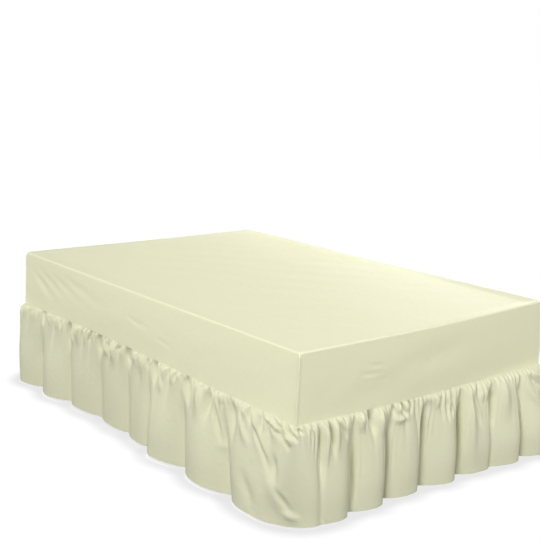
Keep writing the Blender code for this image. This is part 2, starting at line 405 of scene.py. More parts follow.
def add_piece(mesh: bpy.types.Mesh, material: bpy.types.Material) -> bpy.types.Object:
    """Puts a mesh in the scene as an object of the same name.

    Args:
        mesh: The mesh.
        material: The one material that it takes.

    Returns:
        The object.
    """
    piece = bpy.data.objects.new(mesh.name, mesh)
    mesh.materials.clear()
    mesh.materials.append(material)
    bpy.context.scene.collection.objects.link(piece)
    return piece


def thicken(piece: bpy.types.Object, thickness: float) -> None:
    """Gives a sheet its thickness, inwards from its face, with crisp edges.

    Args:
        piece: The sheet.
        thickness: How thick it becomes, in metres.
    """
    mesh = piece.data
    sides = np.zeros(len(mesh.loops), dtype=np.int32)
    mesh.loops.foreach_get("edge_index", sides)
    free = np.bincount(sides, minlength=len(mesh.edges)) == 1
    sharp = mesh.attributes.new("sharp_edge", "BOOLEAN", "EDGE")
    sharp.data.foreach_set("value", free)
    shell = piece.modifiers.new("Thickness", "SOLIDIFY")
    shell.thickness = thickness
    shell.offset = -1.0
    shell.use_quality_normals = True


# ---------------------------------------------------------------- finishes
class Nodes:
    """Adds and joins the nodes of one material."""

    def __init__(self, name: str) -> None:
        """Starts a material with its shader.

        Args:
            name: The material's name.
        """
        self.material = bpy.data.materials.new(name)
        self.material.use_nodes = True
        self.tree = self.material.node_tree
        self.shader = self.tree.nodes["Principled BSDF"]

    def add(self, kind: str, **settings: object) -> bpy.types.Node:
        """Adds a node.

        Args:
            kind: The node's type, without its ShaderNode prefix.
            settings: Values of its properties, or of its input sockets in words joined by _.

        Returns:
            The node.
        """
        node = self.tree.nodes.new("ShaderNode" + kind)
        for key, value in settings.items():
            if hasattr(node, key):
                setattr(node, key, value)
            else:
                node.inputs[key.replace("_", " ").title()].default_value = value
        return node

    def join(self, out: bpy.types.NodeSocket, into: bpy.types.NodeSocket) -> None:
        """Links one socket to another."""
        self.tree.links.new(out, into)

    def mix(
        self, factor: object, a: object, b: object, blend_type: str = "MIX"
    ) -> bpy.types.NodeSocket:
        """Mixes two colours.

        Args:
            factor: A socket or a number.
            a: The first colour, as a socket or four numbers.
            b: The second colour, as a socket or four numbers.
            blend_type: How they are mixed.

        Returns:
            The socket of the mixed colour.
        """
        node = self.tree.nodes.new("ShaderNodeMix")
        node.data_type = "RGBA"
        node.blend_type = blend_type
        for socket, value in zip((node.inputs[0], node.inputs[6], node.inputs[7]), (factor, a, b)):
            if isinstance(value, bpy.types.NodeSocket):
                self.join(value, socket)
            else:
                socket.default_value = value
        return node.outputs[2]

    def maths(self, operation: str, *values: object) -> bpy.types.NodeSocket:
        """Does a sum on sockets and numbers.

        Args:
            operation: The Math node's operation.
            values: Its inputs in order.

        Returns:
            The socket of the result.
        """
        node = self.tree.nodes.new("ShaderNodeMath")
        node.operation = operation
        for socket, value in zip(node.inputs, values):
            if isinstance(value, bpy.types.NodeSocket):
                self.join(value, socket)
            else:
                socket.default_value = value
        return node.outputs[0]

    def noise(
        self, place: bpy.types.NodeSocket, size: float, detail: float, roughness: float = 0.5
    ) -> bpy.types.NodeSocket:
        """Adds a cloudy noise.

        Args:
            place: The socket of the coordinates that it reads.
            size: The size of its largest spots, in metres.
            detail: How many finer layers it has.
            roughness: How strong each finer layer is.

        Returns:
            The socket of the noise, from 0 to 1.
        """
        noise = self.add("TexNoise", scale=1.0 / size, detail=detail, roughness=roughness)
        self.join(place, noise.inputs["Vector"])
        return noise.outputs[0]

    def bump(
        self,
        height: bpy.types.NodeSocket,
        depth: float,
        under: bpy.types.NodeSocket | None = None,
    ) -> bpy.types.NodeSocket:
        """Adds a fine relief.

        Args:
            height: The socket of its height.
            depth: How deep it is for a height of 1, in metres.
            under: The socket of the relief that it lies on, if there is one.

        Returns:
            The socket of its normals.
        """
        bump = self.add("Bump", distance=depth, strength=1.0)
        self.join(height, bump.inputs["Height"])
        if under is not None:
            self.join(under, bump.inputs["Normal"])
        return bump.outputs[0]

    def object_place(self) -> bpy.types.NodeSocket:
        """Adds the Object coordinates."""
        return self.add("TexCoord").outputs["Object"]

    def surface(
        self, colour: bpy.types.NodeSocket, normal: bpy.types.NodeSocket
    ) -> bpy.types.Material:
        """Gives the shader its colour and relief.

        Args:
            colour: The socket of the colour.
            normal: The socket of the relief's normals.

        Returns:
            The finished material.
        """
        self.join(colour, self.shader.inputs["Base Color"])
        self.join(normal, self.shader.inputs["Normal"])
        return self.material


@dataclass(frozen=True)
class WovenFinish:
    """A plain woven cloth, whose threads follow the piece's UV map."""

    name: str
    colour: tuple[float, float, float]
    shade: tuple[float, float, float]
    roughness: float = 0.82
    sheen: float = 0.06
    sheen_roughness: float = 0.55
    specular: float = 0.12
    thread: float = 0.00055
    slub: float = 0.0035
    slub_stretch: float = 0.12
    crumple: float = 0.030
    weave_depth: float = 0.00006
    crumple_depth: float = 0.0006

    def slubs(
        self, nodes: Nodes, flat: bpy.types.NodeSocket, scale: tuple[float, float, float]
    ) -> bpy.types.NodeSocket:
        """Adds the uneven thickness of the threads that run one way.

        Args:
            nodes: The material's nodes.
            flat: The socket of the places on the flat cloth.
            scale: How much the pattern is drawn out along each axis, where less is longer.

        Returns:
            The socket of the thickness, from 0 to 1.
        """
        stretch = nodes.add("Mapping")
        stretch.inputs["Scale"].default_value = scale
        nodes.join(flat, stretch.inputs[0])
        return nodes.noise(stretch.outputs[0], self.slub, 3.0, 0.6)

    def build(self) -> bpy.types.Material:
        """Builds the material.

        Returns:
            The material.
        """
        nodes = Nodes(self.name)
        shader = nodes.shader
        shader.inputs["Roughness"].default_value = self.roughness
        shader.inputs["Sheen Weight"].default_value = self.sheen
        shader.inputs["Sheen Roughness"].default_value = self.sheen_roughness
        shader.inputs["Specular IOR Level"].default_value = self.specular

        flat = nodes.add("UVMap", uv_map="flat").outputs[0]
        split = nodes.add("SeparateXYZ")
        nodes.join(flat, split.inputs[0])
        warp, weft = (
            nodes.maths("SINE", nodes.maths("MULTIPLY", split.outputs[axis], TURN / self.thread))
            for axis in (0, 1)
        )
        along = self.slubs(nodes, flat, (1.0, self.slub_stretch, 1.0))
        across = self.slubs(nodes, flat, (self.slub_stretch, 1.0, 1.0))
        threads = nodes.maths("ADD", along, across)
        shade_share = nodes.maths("MULTIPLY", threads, 0.5)
        tint = nodes.mix(shade_share, (*self.shade, 1.0), (*self.colour, 1.0))

        weave = nodes.maths("MULTIPLY", warp, weft)
        fine = nodes.bump(nodes.maths("ADD", weave, threads), self.weave_depth)
        crumple = nodes.noise(flat, self.crumple, 4.0, 0.55)
        return nodes.surface(tint, nodes.bump(crumple, self.crumple_depth, fine))


@dataclass(frozen=True)
class TickingFinish:
    """A matt ticking with fine woven stripes, on Object coordinates."""

    name: str = "ticking"
    colour: tuple[float, float, float] = (0.74, 0.73, 0.70)
    stripe: tuple[float, float, float] = (0.62, 0.61, 0.58)
    pitch: float = 0.018
    stripe_edge: float = 0.55
    grain: float = 0.0011
    depth: float = 0.0002

    def build(self) -> bpy.types.Material:
        """Builds the material.

        Returns:
            The material.
        """
        nodes = Nodes(self.name)
        nodes.shader.inputs["Roughness"].default_value = 0.9
        place = nodes.object_place()
        split = nodes.add("SeparateXYZ")
        nodes.join(place, split.inputs[0])
        wave = nodes.maths("SINE", nodes.maths("MULTIPLY", split.outputs[0], TURN / self.pitch))
        band = nodes.maths("GREATER_THAN", wave, self.stripe_edge)
        tint = nodes.mix(band, (*self.colour, 1.0), (*self.stripe, 1.0))
        return nodes.surface(tint, nodes.bump(nodes.noise(place, self.grain, 2.0), self.depth))


@dataclass(frozen=True)
class GrainFinish:
    """A matt surface with a fine grain and a slightly uneven colour, on Object coordinates."""

    name: str
    colour: tuple[float, float, float]
    shade: tuple[float, float, float]
    roughness: float
    grain: float
    depth: float

    def build(self) -> bpy.types.Material:
        """Builds the material.

        Returns:
            The material.
        """
        nodes = Nodes(self.name)
        nodes.shader.inputs["Roughness"].default_value = self.roughness
        grain = nodes.noise(nodes.object_place(), self.grain, 4.0, 0.6)
        tint = nodes.mix(grain, (*self.shade, 1.0), (*self.colour, 1.0))
        return nodes.surface(tint, nodes.bump(grain, self.depth))


COTTON = WovenFinish(
    name="cream_cotton",
    colour=(0.830, 0.827, 0.580),
    shade=(0.760, 0.757, 0.528),
    crumple=0.040,
    crumple_depth=0.0015,
)
# The cover's cotton, darkened for the frill: painted shade for its folds, not a different cloth.
SHADED_COTTON = WovenFinish(
    name="cream_cotton_painted_shade",
    colour=(0.680, 0.677, 0.488),
    shade=(0.630, 0.627, 0.446),
    crumple=0.026,
    crumple_depth=0.0015,
)
THREAD = GrainFinish(
    name="sewing_thread",
    colour=(0.80, 0.78, 0.57),
    shade=(0.72, 0.70, 0.50),
    roughness=0.6,
    grain=0.0006,
    depth=0.0001,
)
BASE_CLOTH = GrainFinish(
    name="base_cloth",
    colour=(0.62, 0.60, 0.56),
    shade=(0.52, 0.50, 0.47),
    roughness=0.9,
    grain=0.002,
    depth=0.0004,
)
FOOT_PLASTIC = GrainFinish(
    name="foot_plastic",
    colour=(0.05, 0.05, 0.05),
    shade=(0.03, 0.03, 0.03),
    roughness=0.45,
    grain=0.001,
    depth=0.0001,
)


# ---------------------------------------------------------------- stitches
@dataclass(frozen=True)
class StitchRow:
    """A row of lockstitches, laid along a line of points by Geometry Nodes.

    The stitches are from shortest to longest times their length.
    """

    name: str
    pitch: float = 0.0036
    length: float = 0.0026
    thickness: float = 0.0006
    shortest: float = 0.82
    longest: float = 1.12
    seed: int = 7

    def tree(self) -> bpy.types.GeometryNodeTree:
        """Builds the node tree.

        Returns:
            The tree, which turns a line of edges into stitches.
        """
        tree = bpy.data.node_groups.new(self.name, "GeometryNodeTree")
        tree.interface.new_socket("Line", in_out="INPUT", socket_type="NodeSocketGeometry")
        for name in ("Pitch", "Length", "Thickness"):
            tree.interface.new_socket(name, in_out="INPUT", socket_type="NodeSocketFloat")
        tree.interface.new_socket("Seed", in_out="INPUT", socket_type="NodeSocketInt")
        tree.interface.new_socket("Thread", in_out="INPUT", socket_type="NodeSocketMaterial")
        tree.interface.new_socket("Stitches", in_out="OUTPUT", socket_type="NodeSocketGeometry")

        def node(kind: str) -> bpy.types.Node:
            """Adds a node of this type."""
            return tree.nodes.new(kind)

        given, result = node("NodeGroupInput"), node("NodeGroupOutput")
        curve, spaced = node("GeometryNodeMeshToCurve"), node("GeometryNodeResampleCurve")
        spaced.mode = "LENGTH"
        tangent = node("GeometryNodeInputTangent")
        turned = node("FunctionNodeAlignRotationToVector")
        turned.axis = "X"
        bead = node("GeometryNodeMeshIcoSphere")
        bead.inputs["Radius"].default_value = 0.5
        bead.inputs["Subdivisions"].default_value = 1
        placed = node("GeometryNodeInstanceOnPoints")
        size = node("ShaderNodeCombineXYZ")
        uneven = node("FunctionNodeRandomValue")
        uneven.data_type = "FLOAT"
        uneven.inputs[2].default_value = self.shortest
        uneven.inputs[3].default_value = self.longest
        longer = node("ShaderNodeMath")
        longer.operation = "MULTIPLY"
        real, dressed = node("GeometryNodeRealizeInstances"), node("GeometryNodeSetMaterial")

        for out_node, out, in_node, into in (
            (given, "Line", curve, "Mesh"),
            (curve, 0, spaced, "Curve"),
            (given, "Pitch", spaced, "Length"),
            (spaced, 0, placed, "Points"),
            (bead, "Mesh", placed, "Instance"),
            (tangent, 0, turned, "Vector"),
            (turned, 0, placed, "Rotation"),
            (given, "Seed", uneven, "Seed"),
            (given, "Length", longer, 0),
            (uneven, 1, longer, 1),
            (longer, 0, size, "X"),
            (given, "Thickness", size, "Y"),
            (given, "Thickness", size, "Z"),
            (size, 0, placed, "Scale"),
            (placed, 0, real, 0),
            (real, 0, dressed, "Geometry"),
            (given, "Thread", dressed, "Material"),
            (dressed, 0, result, 0),
        ):
            tree.links.new(out_node.outputs[out], in_node.inputs[into])
        return tree

    def lay(self, line: np.ndarray, material: bpy.types.Material) -> bpy.types.Object:
        """Lays the stitches along a closed line.

        Args:
            line: The points of the line, in order.
            material: The thread's material.

        Returns:
            The stitches, as one mesh.
        """
        count = len(line)
        guide_mesh = bpy.data.meshes.new(self.name + "_line")
        guide_mesh.from_pydata(line.tolist(), [(i, (i + 1) % count) for i in range(count)], [])
        guide = bpy.data.objects.new(self.name + "_line", guide_mesh)
        bpy.context.scene.collection.objects.link(guide)
        tree = self.tree()
        modifier = guide.modifiers.new("Stitches", "NODES")
        modifier.node_group = tree
        values = {
            "Pitch": self.pitch,
            "Length": self.length,
            "Thickness": self.thickness,
            "Seed": self.seed,
            "Thread": material,
        }
        for item in tree.interface.items_tree:
            if item.in_out == "INPUT" and item.name in values:
                modifier[item.identifier] = values[item.name]
        graph = bpy.context.evaluated_depsgraph_get()
        mesh = bpy.data.meshes.new_from_object(guide.evaluated_get(graph))
        mesh.name = self.name
        mesh.shade_smooth()
        bpy.data.objects.remove(guide)
        return add_piece(mesh, material)


# ---------------------------------------------------------------- the frill
@dataclass(frozen=True)
class Fold:
    """One fold of the frill, in metres.

    Its crest is this far along the side at the seam. The crest, and the valley after it, stand
    out this far at the hem. The fold leans this far along the side as it falls.
    """

    at: float
    crest: float
    valley: float
    lean: float


@dataclass(frozen=True)
class Pleats:
    """A set of small pleats under the seam, in metres.

    The pleats are this wide, give or take the share uneven, and as deep as the share steep of
    their width, times a share between least and most. They are fullest at the fall peak, and
    fade out over a fall between the shortest and the longest. A lower roundness makes their ridges
    broader, and level is what brings the mean of a pleat to about nothing. At the seam their rise
    has come as far as at_seam, and fade_curve makes them fade faster further down.
    """

    width: float
    uneven: float
    steep: float
    peak: float
    shortest: float
    longest: float
    seed: int
    least: float = 0.10
    most: float = 1.50
    roundness: float = 0.8
    level: float = 0.68
    at_seam: float = 0.15
    fade_curve: float = 0.35

    def split(self, valleys: np.ndarray) -> np.ndarray:
        """Splits each stretch between two valleys into pleats of about the right width.

        Args:
            valleys: Where the valleys are along the seam, in rising order.

        Returns:
            Those valleys and the new ones between them.
        """
        random = np.random.default_rng(self.seed)
        edges = [valleys[:1]]
        for start, end in zip(valleys[:-1], valleys[1:]):
            count = max(2, round((end - start) / self.width))
            widths = random.uniform(1.0 - self.uneven, 1.0 + self.uneven, count)
            edges.append(start + np.cumsum(widths) / widths.sum() * (end - start))
        return np.concatenate(edges)

    def height(self, edges: np.ndarray, cloth: np.ndarray, fall: np.ndarray) -> np.ndarray:
        """How far the pleats raise the frill.

        Args:
            edges: Where the pleats' valleys are along the seam.
            cloth: Where each column is along the seam, in metres.
            fall: How far each row is below the seam, in metres.

        Returns:
            The height in metres, in rows and columns, with a mean of about nothing.
        """
        random = np.random.default_rng(self.seed + 1)
        widths = np.diff(edges)
        depth = self.steep * widths * random.uniform(self.least, self.most, len(widths))
        fade = self.shortest + (self.longest - self.shortest) * random.random(len(widths)) ** 2.0
        along = (cloth - edges[0]) % (edges[-1] - edges[0]) + edges[0]
        index = np.clip(np.searchsorted(edges, along, side="right") - 1, 0, len(widths) - 1)
        share = (along - edges[index]) / widths[index]
        ridge = np.sin(np.pi * share) ** self.roundness - self.level
        rise = smooth(self.at_seam + (1.0 - self.at_seam) * fall / self.peak)[:, None]
        beyond = np.maximum(0.0, fall[:, None] - self.peak) / fade[index]
        return depth[index] * ridge * rise * np.exp(-beyond - self.fade_curve * beyond**2)


@dataclass(frozen=True)
class Settling:
    """Lets a hanging sheet settle: its threads keep their lengths, so that it buckles.

    The sheet is a closed ring of columns, held along its top row. The folds and the creases stay
    where they are put, because shapes wider than reach are held to them.
    """

    rounds: int = 120
    stretch: float = 0.9
    shear: float = 0.06
    stiffness: float = 0.30
    drape: float = 0.02
    weight: float = 0.00004
    hold: float = 0.10
    hold_every: int = 4
    reach: float = 0.007
    least_length: float = 1e-12

    def links(self, near: np.ndarray, far: np.ndarray, rest: np.ndarray, pull: float) -> np.ndarray:
        """The step that brings pairs of points to their distance apart.

        Args:
            near: The first point of each pair.
            far: The second point of each pair.
            rest: How far apart they should be.
            pull: The share of the error to take away.

        Returns:
            Half the step, to add to near and take from far.
        """
        gap = far - near
        length = np.sqrt(np.einsum("...i,...i->...", gap, gap)) + self.least_length
        return (0.5 * pull * (length - rest) / length)[..., None] * gap

    def around(self, points: np.ndarray, rest: np.ndarray) -> None:
        """Brings the threads that run round the bed to their length.

        Args:
            points: The sheet's points, changed in place.
            rest: The length of each thread.
        """
        for first in (0, 1):
            near = np.arange(first, points.shape[1], 2)
            far = (near + 1) % points.shape[1]
            step = self.links(points[:, near], points[:, far], rest[:, near], self.stretch)
            points[:, near] += step
            points[:, far] -= step

    def down(self, points: np.ndarray, rest: np.ndarray) -> None:
        """Brings the threads that run down to their length.

        Args:
            points: The sheet's points, changed in place.
            rest: The length of each thread.
        """
        for first in (0, 1):
            near = np.arange(first, len(points) - 1, 2)
            step = self.links(points[near], points[near + 1], rest[near], self.stretch)
            points[near] += step
            points[near + 1] -= step

    def across(self, points: np.ndarray, rest: np.ndarray) -> None:
        """Keeps the weave from shearing too far.

        Args:
            points: The sheet's points, changed in place.
            rest: The length of each slant from a point to the next row and column.
        """
        for turn in (-1, 1):
            shifted = np.roll(points, -turn, axis=1)
            step = self.links(points[:-1], shifted[1:], rest, self.shear)
            points[:-1] += step
            points[1:] -= np.roll(step, turn, axis=1)

    def soften(self, points: np.ndarray) -> None:
        """Takes the sharpest bends out.

        Args:
            points: The sheet's points, changed in place.
        """
        beside = 0.5 * (np.roll(points, 1, axis=1) + np.roll(points, -1, axis=1)) - points
        bend = 0.5 * (np.roll(beside, 1, axis=1) + np.roll(beside, -1, axis=1)) - beside
        points -= self.stiffness * bend
        points[1:-1] += self.drape * (0.5 * (points[2:] + points[:-2]) - points[1:-1])

    def settle(self, start: np.ndarray, threads: np.ndarray, keep_out: "BaseWall") -> np.ndarray:
        """Settles the sheet.

        Args:
            start: Where its points start, in rows and columns, and the shape that they are held to.
            threads: The length of each thread from a column to the next, in rows and columns.
            keep_out: What the sheet stays outside of.

        Returns:
            Where the points come to rest.
        """
        points, top = start.copy(), start[0].copy()
        drops = np.linalg.norm(start[1:] - start[:-1], axis=-1)
        slants = np.sqrt((0.5 * (threads[1:] + threads[:-1])) ** 2 + drops**2)
        spacing = np.linalg.norm(np.roll(top, -1, axis=0) - top, axis=-1).mean()
        shares = smear_shares(self.reach, points.shape[1], spacing)[None, :, None]
        height = np.concatenate(([0.0], np.cumsum(drops.mean(axis=1))))
        spread = np.exp(-0.5 * ((height[:, None] - height[None, :]) / self.reach) ** 2)
        spread /= spread.sum(axis=1, keepdims=True)
        for turn in range(self.rounds):
            points[1:, :, 2] -= self.weight
            self.around(points, threads)
            self.across(points, slants)
            self.down(points, drops)
            self.soften(points)
            if turn % self.hold_every == 0:
                strayed = keep_waves(points - start, shares)
                points -= self.hold * self.hold_every * np.einsum("ij,jkl->ikl", spread, strayed)
                keep_out.push(points)
            points[0] = top
        return points


@dataclass(frozen=True)
class BaseWall:
    """The rounded walls that the frill hangs round, in metres."""

    half_x: float
    half_y: float
    corner: float

    def push(self, points: np.ndarray) -> None:
        """Pushes points that are inside the walls out to them.

        Args:
            points: The points to push, changed in place.
        """
        x, y = points[..., 0], points[..., 1]
        a = np.maximum(0.0, np.abs(x) - (self.half_x - self.corner))
        b = np.maximum(0.0, np.abs(y) - (self.half_y - self.corner))
        reach = np.sqrt(a * a + b * b)
        grow = np.where(reach > TINY, np.maximum(reach, self.corner) / np.maximum(reach, TINY), 1.0)
        points[..., 0] += np.sign(x) * a * (grow - 1.0)
        points[..., 1] += np.sign(y) * b * (grow - 1.0)


LEFT_CREASES = (
    Crease((0.050, -0.010), (0.035, 0.060), 0.0069, 0.0140, 0.0120, peak=0.30),
    Crease((0.100, 0.005), (0.075, 0.032), -0.0081, 0.0056, 0.0050),
    Crease((0.175, -0.015), (0.205, 0.085), -0.0175, 0.0224, 0.0080, peak=0.35),
    Crease((0.238, -0.010), (0.240, 0.060), 0.0092, 0.0160, 0.0140, peak=0.30),
    Crease((0.300, -0.010), (0.300, 0.080), 0.0103, 0.0220, 0.0200, peak=0.30),
    Crease((0.345, 0.000), (0.352, 0.055), -0.0121, 0.0056, 0.0050, peak=0.40),
    Crease((0.410, -0.015), (0.425, 0.180), -0.0162, 0.0176, 0.0112, peak=0.25),
    Crease((0.500, -0.015), (0.500, 0.110), 0.0126, 0.0240, 0.0220, peak=0.30),
    Crease((0.555, -0.010), (0.553, 0.080), 0.0080, 0.0160, 0.0140, peak=0.30),
    Crease((0.607, -0.008), (0.578, 0.064), -0.0175, 0.0050, 0.0050, peak=0.40),
    Crease((0.665, -0.015), (0.680, 0.120), -0.0203, 0.0272, 0.0096, peak=0.30),
    Crease((0.775, -0.010), (0.785, 0.120), 0.0138, 0.0220, 0.0240, peak=0.35),
    Crease((0.795, 0.038), (0.838, 0.008), -0.0081, 0.0050, 0.0050),
    Crease((0.885, -0.015), (0.905, 0.120), -0.0189, 0.0224, 0.0096, peak=0.30),
    Crease((0.940, -0.010), (0.945, 0.070), 0.0092, 0.0120, 0.0140, peak=0.30),
    Crease((0.985, -0.010), (0.980, 0.100), 0.0115, 0.0200, 0.0220, peak=0.35),
    Crease((1.028, 0.000), (1.035, 0.050), -0.0095, 0.0056, 0.0050, peak=0.40),
    Crease((1.075, -0.015), (1.112, 0.130), -0.0203, 0.0208, 0.0112, peak=0.30),
    Crease((1.155, -0.008), (1.155, 0.060), 0.0103, 0.0120, 0.0140, peak=0.35),
    Crease((1.178, 0.000), (1.180, 0.055), -0.0081, 0.0050, 0.0050, peak=0.40),
    Crease((1.205, -0.008), (1.205, 0.070), 0.0103, 0.0120, 0.0140, peak=0.35),
    Crease((1.228, 0.000), (1.222, 0.050), -0.0095, 0.0056, 0.0050, peak=0.40),
    Crease((1.285, -0.015), (1.330, 0.140), -0.0216, 0.0240, 0.0112, peak=0.30),
    Crease((1.375, -0.012), (1.392, 0.160), 0.0138, 0.0220, 0.0220, peak=0.40),
    Crease((1.445, -0.005), (1.425, 0.150), -0.0189, 0.0128, 0.0176, peak=0.35),
    Crease((1.462, 0.030), (1.508, 0.200), -0.0135, 0.0096, 0.0080, peak=0.40),
    Crease((1.470, 0.198), (1.560, 0.186), 0.0040, 0.0140, 0.0160),
    Crease((1.500, -0.010), (1.510, 0.050), 0.0092, 0.0120, 0.0120, peak=0.30),
    Crease((1.562, -0.015), (1.578, 0.190), -0.0243, 0.0256, 0.0176, peak=0.35),
    Crease((1.590, -0.008), (1.592, 0.035), 0.0092, 0.0070, 0.0070, peak=0.40),
    Crease((1.632, -0.010), (1.640, 0.050), 0.0092, 0.0100, 0.0120, peak=0.35),
    Crease((1.660, 0.000), (1.668, 0.060), -0.0108, 0.0064, 0.0056, peak=0.40),
    Crease((1.690, -0.010), (1.702, 0.110), 0.0115, 0.0140, 0.0180, peak=0.30),
    Crease((1.722, 0.005), (1.735, 0.090), -0.0108, 0.0080, 0.0096, peak=0.35),
    Crease((1.715, 0.040), (1.765, 0.180), 0.0100, 0.0253, 0.0299, peak=0.40),
    Crease((1.755, 0.150), (1.825, 0.335), 0.0072, 0.0253, 0.0330),
    Crease((1.795, 0.110), (1.800, 0.240), -0.0112, 0.0156, 0.0156, peak=0.40),
    Crease((1.790, 0.005), (1.875, 0.100), -0.0162, 0.0080, 0.0080, peak=0.35, bend=0.006),
    Crease((1.755, 0.000), (1.800, 0.075), 0.0092, 0.0120, 0.0120, peak=0.30),
    Crease((1.845, 0.005), (1.900, 0.060), -0.0135, 0.0064, 0.0056, peak=0.35, bend=0.005),
    Crease((1.825, 0.000), (1.885, 0.070), 0.0092, 0.0100, 0.0100, peak=0.30),
    Crease((1.790, 0.215), (1.865, 0.320), -0.0093, 0.0111, 0.0111),
    Crease((1.800, 0.315), (1.905, 0.340), 0.0070, 0.0115, 0.0115),
    Crease((1.620, 0.200), (1.705, 0.365), -0.0074, 0.0244, 0.0289),
    Crease((1.700, 0.012), (1.885, 0.080), -0.0110, 0.0070, 0.0070, bend=0.008),
    Crease((1.720, 0.004), (1.890, 0.062), 0.0090, 0.0080, 0.0080, bend=0.007),
    Crease((1.750, 0.006), (1.892, 0.050), -0.0100, 0.0060, 0.0060, bend=0.006),
    Crease((1.650, 0.020), (1.790, 0.210), -0.0110, 0.0090, 0.0120, bend=0.010),
    Crease((1.600, 0.030), (1.680, 0.150), 0.0080, 0.0140, 0.0160, skew=0.40),
    Crease((1.130, 0.020), (1.160, 0.110), 0.0090, 0.0120, 0.0160, skew=0.50),
    Crease((0.720, 0.015), (0.740, 0.090), 0.0090, 0.0120, 0.0160, skew=0.50),
    Crease((0.440, 0.015), (0.460, 0.100), 0.0080, 0.0120, 0.0160, skew=0.50),
    Crease((1.880, 0.020), (1.925, 0.035), -0.0108, 0.0056, 0.0056, bend=0.010),
)
FOOT_CREASES = (
    Crease((0.100, -0.010), (0.082, 0.260), -0.0190, 0.0105, 0.0110, peak=0.35),
    Crease((0.120, -0.010), (0.108, 0.180), 0.0138, 0.0140, 0.0140, peak=0.35),
    Crease((0.145, 0.005), (0.148, 0.160), -0.0116, 0.0068, 0.0068, peak=0.35),
    Crease((0.165, -0.010), (0.165, 0.160), 0.0115, 0.0130, 0.0140, peak=0.30),
    Crease((0.180, 0.002), (0.220, 0.100), -0.0145, 0.0076, 0.0076, peak=0.35),
    Crease((0.258, 0.020), (0.256, 0.365), -0.0204, 0.0112, 0.0098),
    Crease((0.290, -0.005), (0.292, 0.080), 0.0115, 0.0140, 0.0140, peak=0.35),
    Crease((0.335, -0.015), (0.350, 0.120), -0.0188, 0.0204, 0.0068, peak=0.25),
    Crease((0.385, -0.010), (0.388, 0.120), 0.0161, 0.0140, 0.0140, peak=0.40, skew=0.35),
    Crease((0.424, 0.015), (0.422, 0.365), -0.0221, 0.0098, 0.0098),
    Crease((0.460, -0.005), (0.460, 0.060), -0.0130, 0.0076, 0.0059, peak=0.35),
    Crease((0.480, -0.005), (0.482, 0.055), 0.0092, 0.0100, 0.0100, peak=0.35),
    Crease((0.500, -0.005), (0.500, 0.055), -0.0130, 0.0076, 0.0059, peak=0.35),
    Crease((0.520, -0.005), (0.520, 0.055), 0.0092, 0.0100, 0.0100, peak=0.35),
    Crease((0.540, -0.005), (0.540, 0.060), -0.0130, 0.0076, 0.0059, peak=0.35),
    Crease((0.445, 0.062), (0.545, 0.062), 0.0115, 0.0130, 0.0130),
    Crease((0.625, -0.010), (0.590, 0.365), -0.0238, 0.0112, 0.0126, peak=0.35),
    Crease((0.640, -0.005), (0.643, 0.045), 0.0080, 0.0080, 0.0080, peak=0.35),
    Crease((0.662, -0.005), (0.664, 0.045), 0.0080, 0.0080, 0.0080, peak=0.35),
    Crease((0.690, -0.005), (0.688, 0.070), 0.0115, 0.0140, 0.0140, peak=0.35),
    Crease((0.738, 0.005), (0.735, 0.140), -0.0145, 0.0085, 0.0076, peak=0.40),
    Crease((0.760, 0.050), (0.758, 0.120), -0.0101, 0.0059, 0.0059),
    Crease((0.822, -0.015), (0.820, 0.365), -0.0255, 0.0154, 0.0126, peak=0.40),
    Crease((0.880, -0.015), (0.885, 0.365), 0.0161, 0.0220, 0.0240, peak=0.35, skew=0.30),
    Crease((0.876, 0.020), (0.930, 0.200), -0.0116, 0.0076, 0.0085, peak=0.40),
    Crease((0.935, 0.005), (0.940, 0.090), 0.0103, 0.0110, 0.0120),
    Crease((0.962, 0.005), (0.962, 0.090), 0.0103, 0.0100, 0.0110),
    Crease((1.010, 0.005), (0.985, 0.240), -0.0255, 0.0182, 0.0098, peak=0.35),
    Crease((1.075, -0.010), (1.080, 0.200), 0.0161, 0.0320, 0.0300, peak=0.35, skew=0.20),
    Crease((1.158, -0.010), (1.156, 0.365), -0.0221, 0.0070, 0.0070, peak=0.45),
    Crease((1.200, 0.000), (1.345, 0.120), -0.0130, 0.0102, 0.0102, peak=0.45),
    Crease((1.240, 0.000), (1.345, 0.070), 0.0080, 0.0100, 0.0100, peak=0.40),
    Crease((1.190, 0.030), (1.300, 0.190), 0.0080, 0.0140, 0.0160),
)


